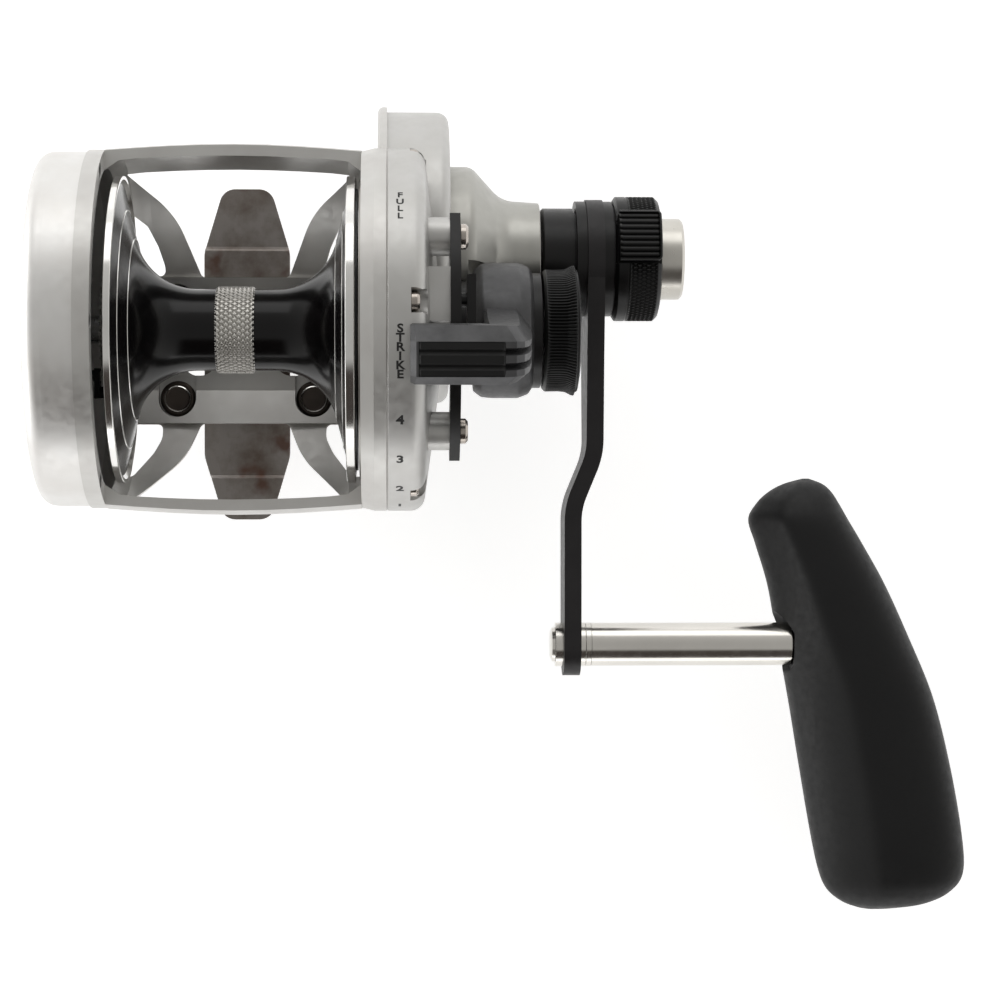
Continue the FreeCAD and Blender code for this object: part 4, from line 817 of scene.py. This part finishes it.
# The section's corners, as shares of half its width and half its depth, near the tip and further down.
UPPER = [(1, 0), (0.97, 0.55), (0.66, 0.98), (0.1, 1.04), (-0.34, 1.0), (-0.52, 0.86), (-0.86, 0.36),
         (-1.06, 0.02), (-0.98, -0.5), (-0.6, -0.98), (0, -1.06), (0.6, -1.0), (0.97, -0.55)]
LOWER = [(1, 0), (1.0, 0.6), (0.74, 1.02), (0.2, 1.06), (-0.2, 1.02), (-0.36, 0.92), (-0.86, 0.5),
         (-1.06, 0.04), (-1.0, -0.5), (-0.66, -0.98), (0, -1.06), (0.66, -1.0), (0.99, -0.55)]


def rounded_section(corners, samples):
    """A closed cubic spline near the corners, scaled to reach 1 both ways."""
    count = len(corners)
    made = []
    for k in range(samples):
        at = k / samples * count
        i, t = int(at), at % 1
        four = [Vector(corners[(i + n - 1) % count]) for n in range(4)]
        weights = ((1 - t) ** 3, 3 * t ** 3 - 6 * t ** 2 + 4, -3 * t ** 3 + 3 * t ** 2 + 3 * t + 1, t ** 3)
        made.append(sum((p * w for p, w in zip(four, weights)), Vector((0, 0))) / 6)
    low = [min(p[n] for p in made) for n in (0, 1)]
    high = [max(p[n] for p in made) for n in (0, 1)]
    return [[(p[n] - (low[n] + high[n]) / 2) / ((high[n] - low[n]) / 2) for n in (0, 1)] for p in made]


def through(table, share):
    """A smooth curve through rows of numbers, at 0 to 1 along them."""
    at = share * (len(table) - 1)
    i = min(int(at), len(table) - 2)
    t = at - i
    around = (table[max(0, min(len(table) - 1, i + n))] for n in (-1, 0, 1, 2))
    made = []
    for p, q, r, s in zip(*around):
        bend, twist = 2 * p - 5 * q + 4 * r - s, 3 * q - p - 3 * r + s
        made.append(0.5 * (2 * q + (r - p) * t + bend * t ** 2 + twist * t ** 3))
    return made


def make_grip(made):
    """A grip whose section changes a little way down, with a bore that opens where the spindle enters."""
    samples, rows = 96, 150
    change_from, change_length = 96, 34
    upper, lower = rounded_section(UPPER, samples), rounded_section(LOWER, samples)
    rings = []
    for k in range(rows + 1):
        back, middle, half_width, half_depth = through(GRIP_STATIONS, k / rows)
        share = max(0.0, min(1.0, (back - change_from) / change_length))
        share = share * share * (3 - 2 * share)
        ring = []
        for a, b in zip(upper, lower):
            across, out = Vector(a).lerp(Vector(b), share)
            ring.append((middle + half_width * across, HANDLE[0] - back, HANDLE[1] + half_depth * out))
        rings.append(ring)
    points, faces = tube_of(rings)
    grip = add_piece("grip_moulded", points, faces, "grip", [made["grip"]], ["grip"], "grip_rubber")
    mouth = [(150.0, 0, 0), (150.0, 13.0, 0), (157.0, 10.2, 0), (163.2, 8.0, 0), (163.2, 6.0, 0),
             (186.6, 6.0, 0), (186.6, 0, 0)]
    cutter = lathe("grip_mouth", KNOB, mouth, 96, "grip", [made["grip"]])
    joined(grip, cutter, "DIFFERENCE")
    smooth(grip.data, 40)


# ---------------------------------------------------------------- studs, screws and clicker

STUD_ACROSS, STUD_ALONG = 41.0, 29.0
DECK_MIDDLE = 0.7          # ahead of the middle of the foot
COVER_SCREWS = (48.5, 49.2, (-78, -6, 66, 138))    # reach from the spool's axis, seat along X, degrees
QUADRANT_SCREWS = (39.0, 62.8, (-38, 48.3))
CLICKER_BACK = 13.0        # behind the spool's axis


def make_studs(made):
    """Four threaded studs in the deck's pockets: a dark head with a polished edge, and under it a dark ring
    that is painted shade for the shadow of a deeper pocket.
    """
    dark, bright = 0, 1
    thread_from, thread_to, pitch, depth = -18.0, 3.0, 1.0, 0.5
    shank_least, shank_most = 2.45, 2.6
    outline = [(-19.0, 0, dark), (-19.0, 2.0, dark), (-18.5, 2.5, dark), (4.1, 2.5, dark), (4.1, 2.8, dark),
               (8.4, 2.8, dark), (8.4, 4.0, bright), (11.1, 4.0, bright, 0.3), (11.4, 3.6, dark),
               (11.25, 3.3, dark), (11.25, 0, dark)]

    def thread(along, radius, angle):
        if not shank_least <= radius <= shank_most or not thread_from < along < thread_to:
            return radius
        return radius - depth * abs((along / pitch - angle / math.tau) % 1 - 0.5)

    # A dark ring round the foot of each head: painted shade for the shadow in a deeper pocket, not a real
    # washer.
    shade_ring = [(8.4, 4.0, dark), (8.4, 5.4, dark, 0.05), (8.9, 5.4, dark, 0.3), (9.3, 4.6, dark, 0.3),
              (9.3, 4.0, dark)]
    shapes = []
    for side in (-1, 1):
        for way in (-1, 1):
            middle = (STUD_ACROSS / 2 * side, DECK_MIDDLE + STUD_ALONG / 2 * way)

            def stand(point, middle=middle):
                return (middle[0] + point[1], middle[1] + point[2], point[0])

            shapes.append(turned((0, 0), divided(soft(outline, 0.1), -18.6, 4.2, 0.2), 40, thread, stand))
            shapes.append(turned((0, 0), soft(shade_ring, 0.1), 48, place=stand))
    points, faces, shades = gathered(shapes)
    add_piece("clamp_studs_threaded", points, faces, "reel_frame", [made["stud"], made["bright"]],
              ["clamp_studs"], "stud_steel", shades)


def screw(axis, start, height, head, shank_length, shank):
    """A domed socket-head screw facing +X, with a hexagonal socket whose inside is painted dark as shade."""
    silver, dark = 0, 1
    socket = head * 0.5

    def hexagon(along, radius, angle):
        if abs(radius - socket) > CLOSE:
            return radius
        return socket * 0.87 / math.cos((angle + math.pi / 6) % (math.pi / 3) - math.pi / 6)

    # The socket's inner faces take the dark material: painted shade in the recess.
    outline = [(-shank_length, 0, silver), (-shank_length, shank, silver), (0, shank, silver),
               (0, head, silver), (height * 0.7, head, silver), (height, head * 0.78, silver),
               (height, socket, dark, 0), (height * 0.4, socket, dark, 0), (height * 0.4, 0, dark)]
    rounded = [(start + x, r, shade) for x, r, shade in soft(outline, 0.2)]
    return turned(axis, rounded, 48, hexagon)


def make_screws(made):
    """Four screws round the cover and two that hold the quadrant."""
    for name, node, (reach, seat, places), sizes in (
            ("cover_screws_domed", "cover_screws", COVER_SCREWS, (2.4, 2.9, 12, 1.5)),
            ("quadrant_screws_domed", "quadrant_screws", QUADRANT_SCREWS, (2.2, 3.5, 6.5, 1.5))):
        points, faces, shades = gathered([screw(behind(SPOOL, reach, degrees), seat, *sizes)
                                          for degrees in places])
        add_piece(name, points, faces, "reel_frame", [made["screw"], made["paint"]], [node], "screw_steel",
                  shades)


def make_clicker(made):
    """The clicker's thin cap: silver, with its edge painted dark as shade where it stands off the side
    plate.
    """
    silver, dark = 0, 1
    axis = (SPOOL[0] - CLICKER_BACK, SPOOL[1])
    # The rim and the underside take the dark material: painted shadow at the gap to the side plate.
    outline = [(-59.0, 0, silver), (-59.0, 2.4, silver), (-58.2, 3.5, silver), (-57.0, 4.2, silver, 0.5),
               (-57.0, 10.4, dark, 0.2), (-56.5, 11.0, dark), (-55.8, 11.0, dark), (-55.8, 1.6, dark),
               (-38.4, 1.6, silver), (-38.4, 0, silver)]
    lathe("clicker_cap", axis, soft(outline, 0.15), 96, "clicker", [made["case"], made["paint"]],
          stands_for=["clicker_button"], slot="clicker_metal")


# ---------------------------------------------------------------- lettering


def letter(character, size, place):
    """Points, faces and shades of a character a hair thick, put in place by place(across, up, out)."""
    data = bpy.data.curves.new("glyph", "FONT")
    data.body = character
    data.size = size
    data.align_x = "CENTER"
    data.align_y = "CENTER"
    data.extrude = 0.012
    data.offset = size * 0.034
    data.resolution_u = 4
    text = bpy.data.objects.new("glyph", data)
    bpy.context.scene.collection.objects.link(text)
    bpy.context.view_layer.update()
    mesh = bpy.data.meshes.new_from_object(text.evaluated_get(bpy.context.evaluated_depsgraph_get()))
    points = [place(*vertex.co) for vertex in mesh.vertices]
    faces = [tuple(polygon.vertices) for polygon in mesh.polygons]
    bpy.data.objects.remove(text)
    return points, faces, [0] * len(faces)


def make_scale(made):
    """Drag settings in black on the cover's rim, upright when the reel is seen from above."""
    radius, column, widen, lift = 51.5, 46.3, 1.15, 0.01
    words = [("FULL", -37.8, 2.85, 2.7), ("STRIKE", 9.4, 2.75, 3.2), ("4", 31.0, 0, 3.8),
             ("3", 46.0, 0, 3.8), ("2", 61.0, 0, 3.8), ("1", 75.0, 0, 3.8)]
    characters = []
    for word, middle, pitch, size in words:
        for i, character in enumerate(word):
            degrees = middle + (i - (len(word) - 1) / 2) * pitch

            def place(across, up, out, degrees=degrees):
                angle = degrees - math.degrees(up / radius)
                return (column + across * widen, *behind(SPOOL, radius + lift + out, angle))

            characters.append(letter(character, size, place))
    points, faces, shades = gathered(characters)
    add_piece("scale_lettering", points, faces, "reel_frame", [made["paint"]], slot="black_anodised",
              face_shades=shades)


make_camera()
make_world()
add_area("key", (0.05, 0.8, 0.45), (0.05, 0, 0.05), (1.0, 0.5), 1.6)
add_area("fill", (0.1, -0.9, 0.1), (0.05, 0, 0.03), (0.9, 0.25), 0.8)
add_area("left_wall", (-0.7, 0, 0.12), (0, 0, 0.05), (0.9, 0.45), 3.2)
make_floor()
SHADES = make_materials()
finish_nodes(SHADES)
for make in (make_spool, make_boss, make_preset_knob, make_drum, make_tab, make_lever, make_grip, make_studs,
             make_screws, make_clicker, make_scale):
    make(SHADES)
bpy.context.scene.view_settings.view_transform = "Standard"
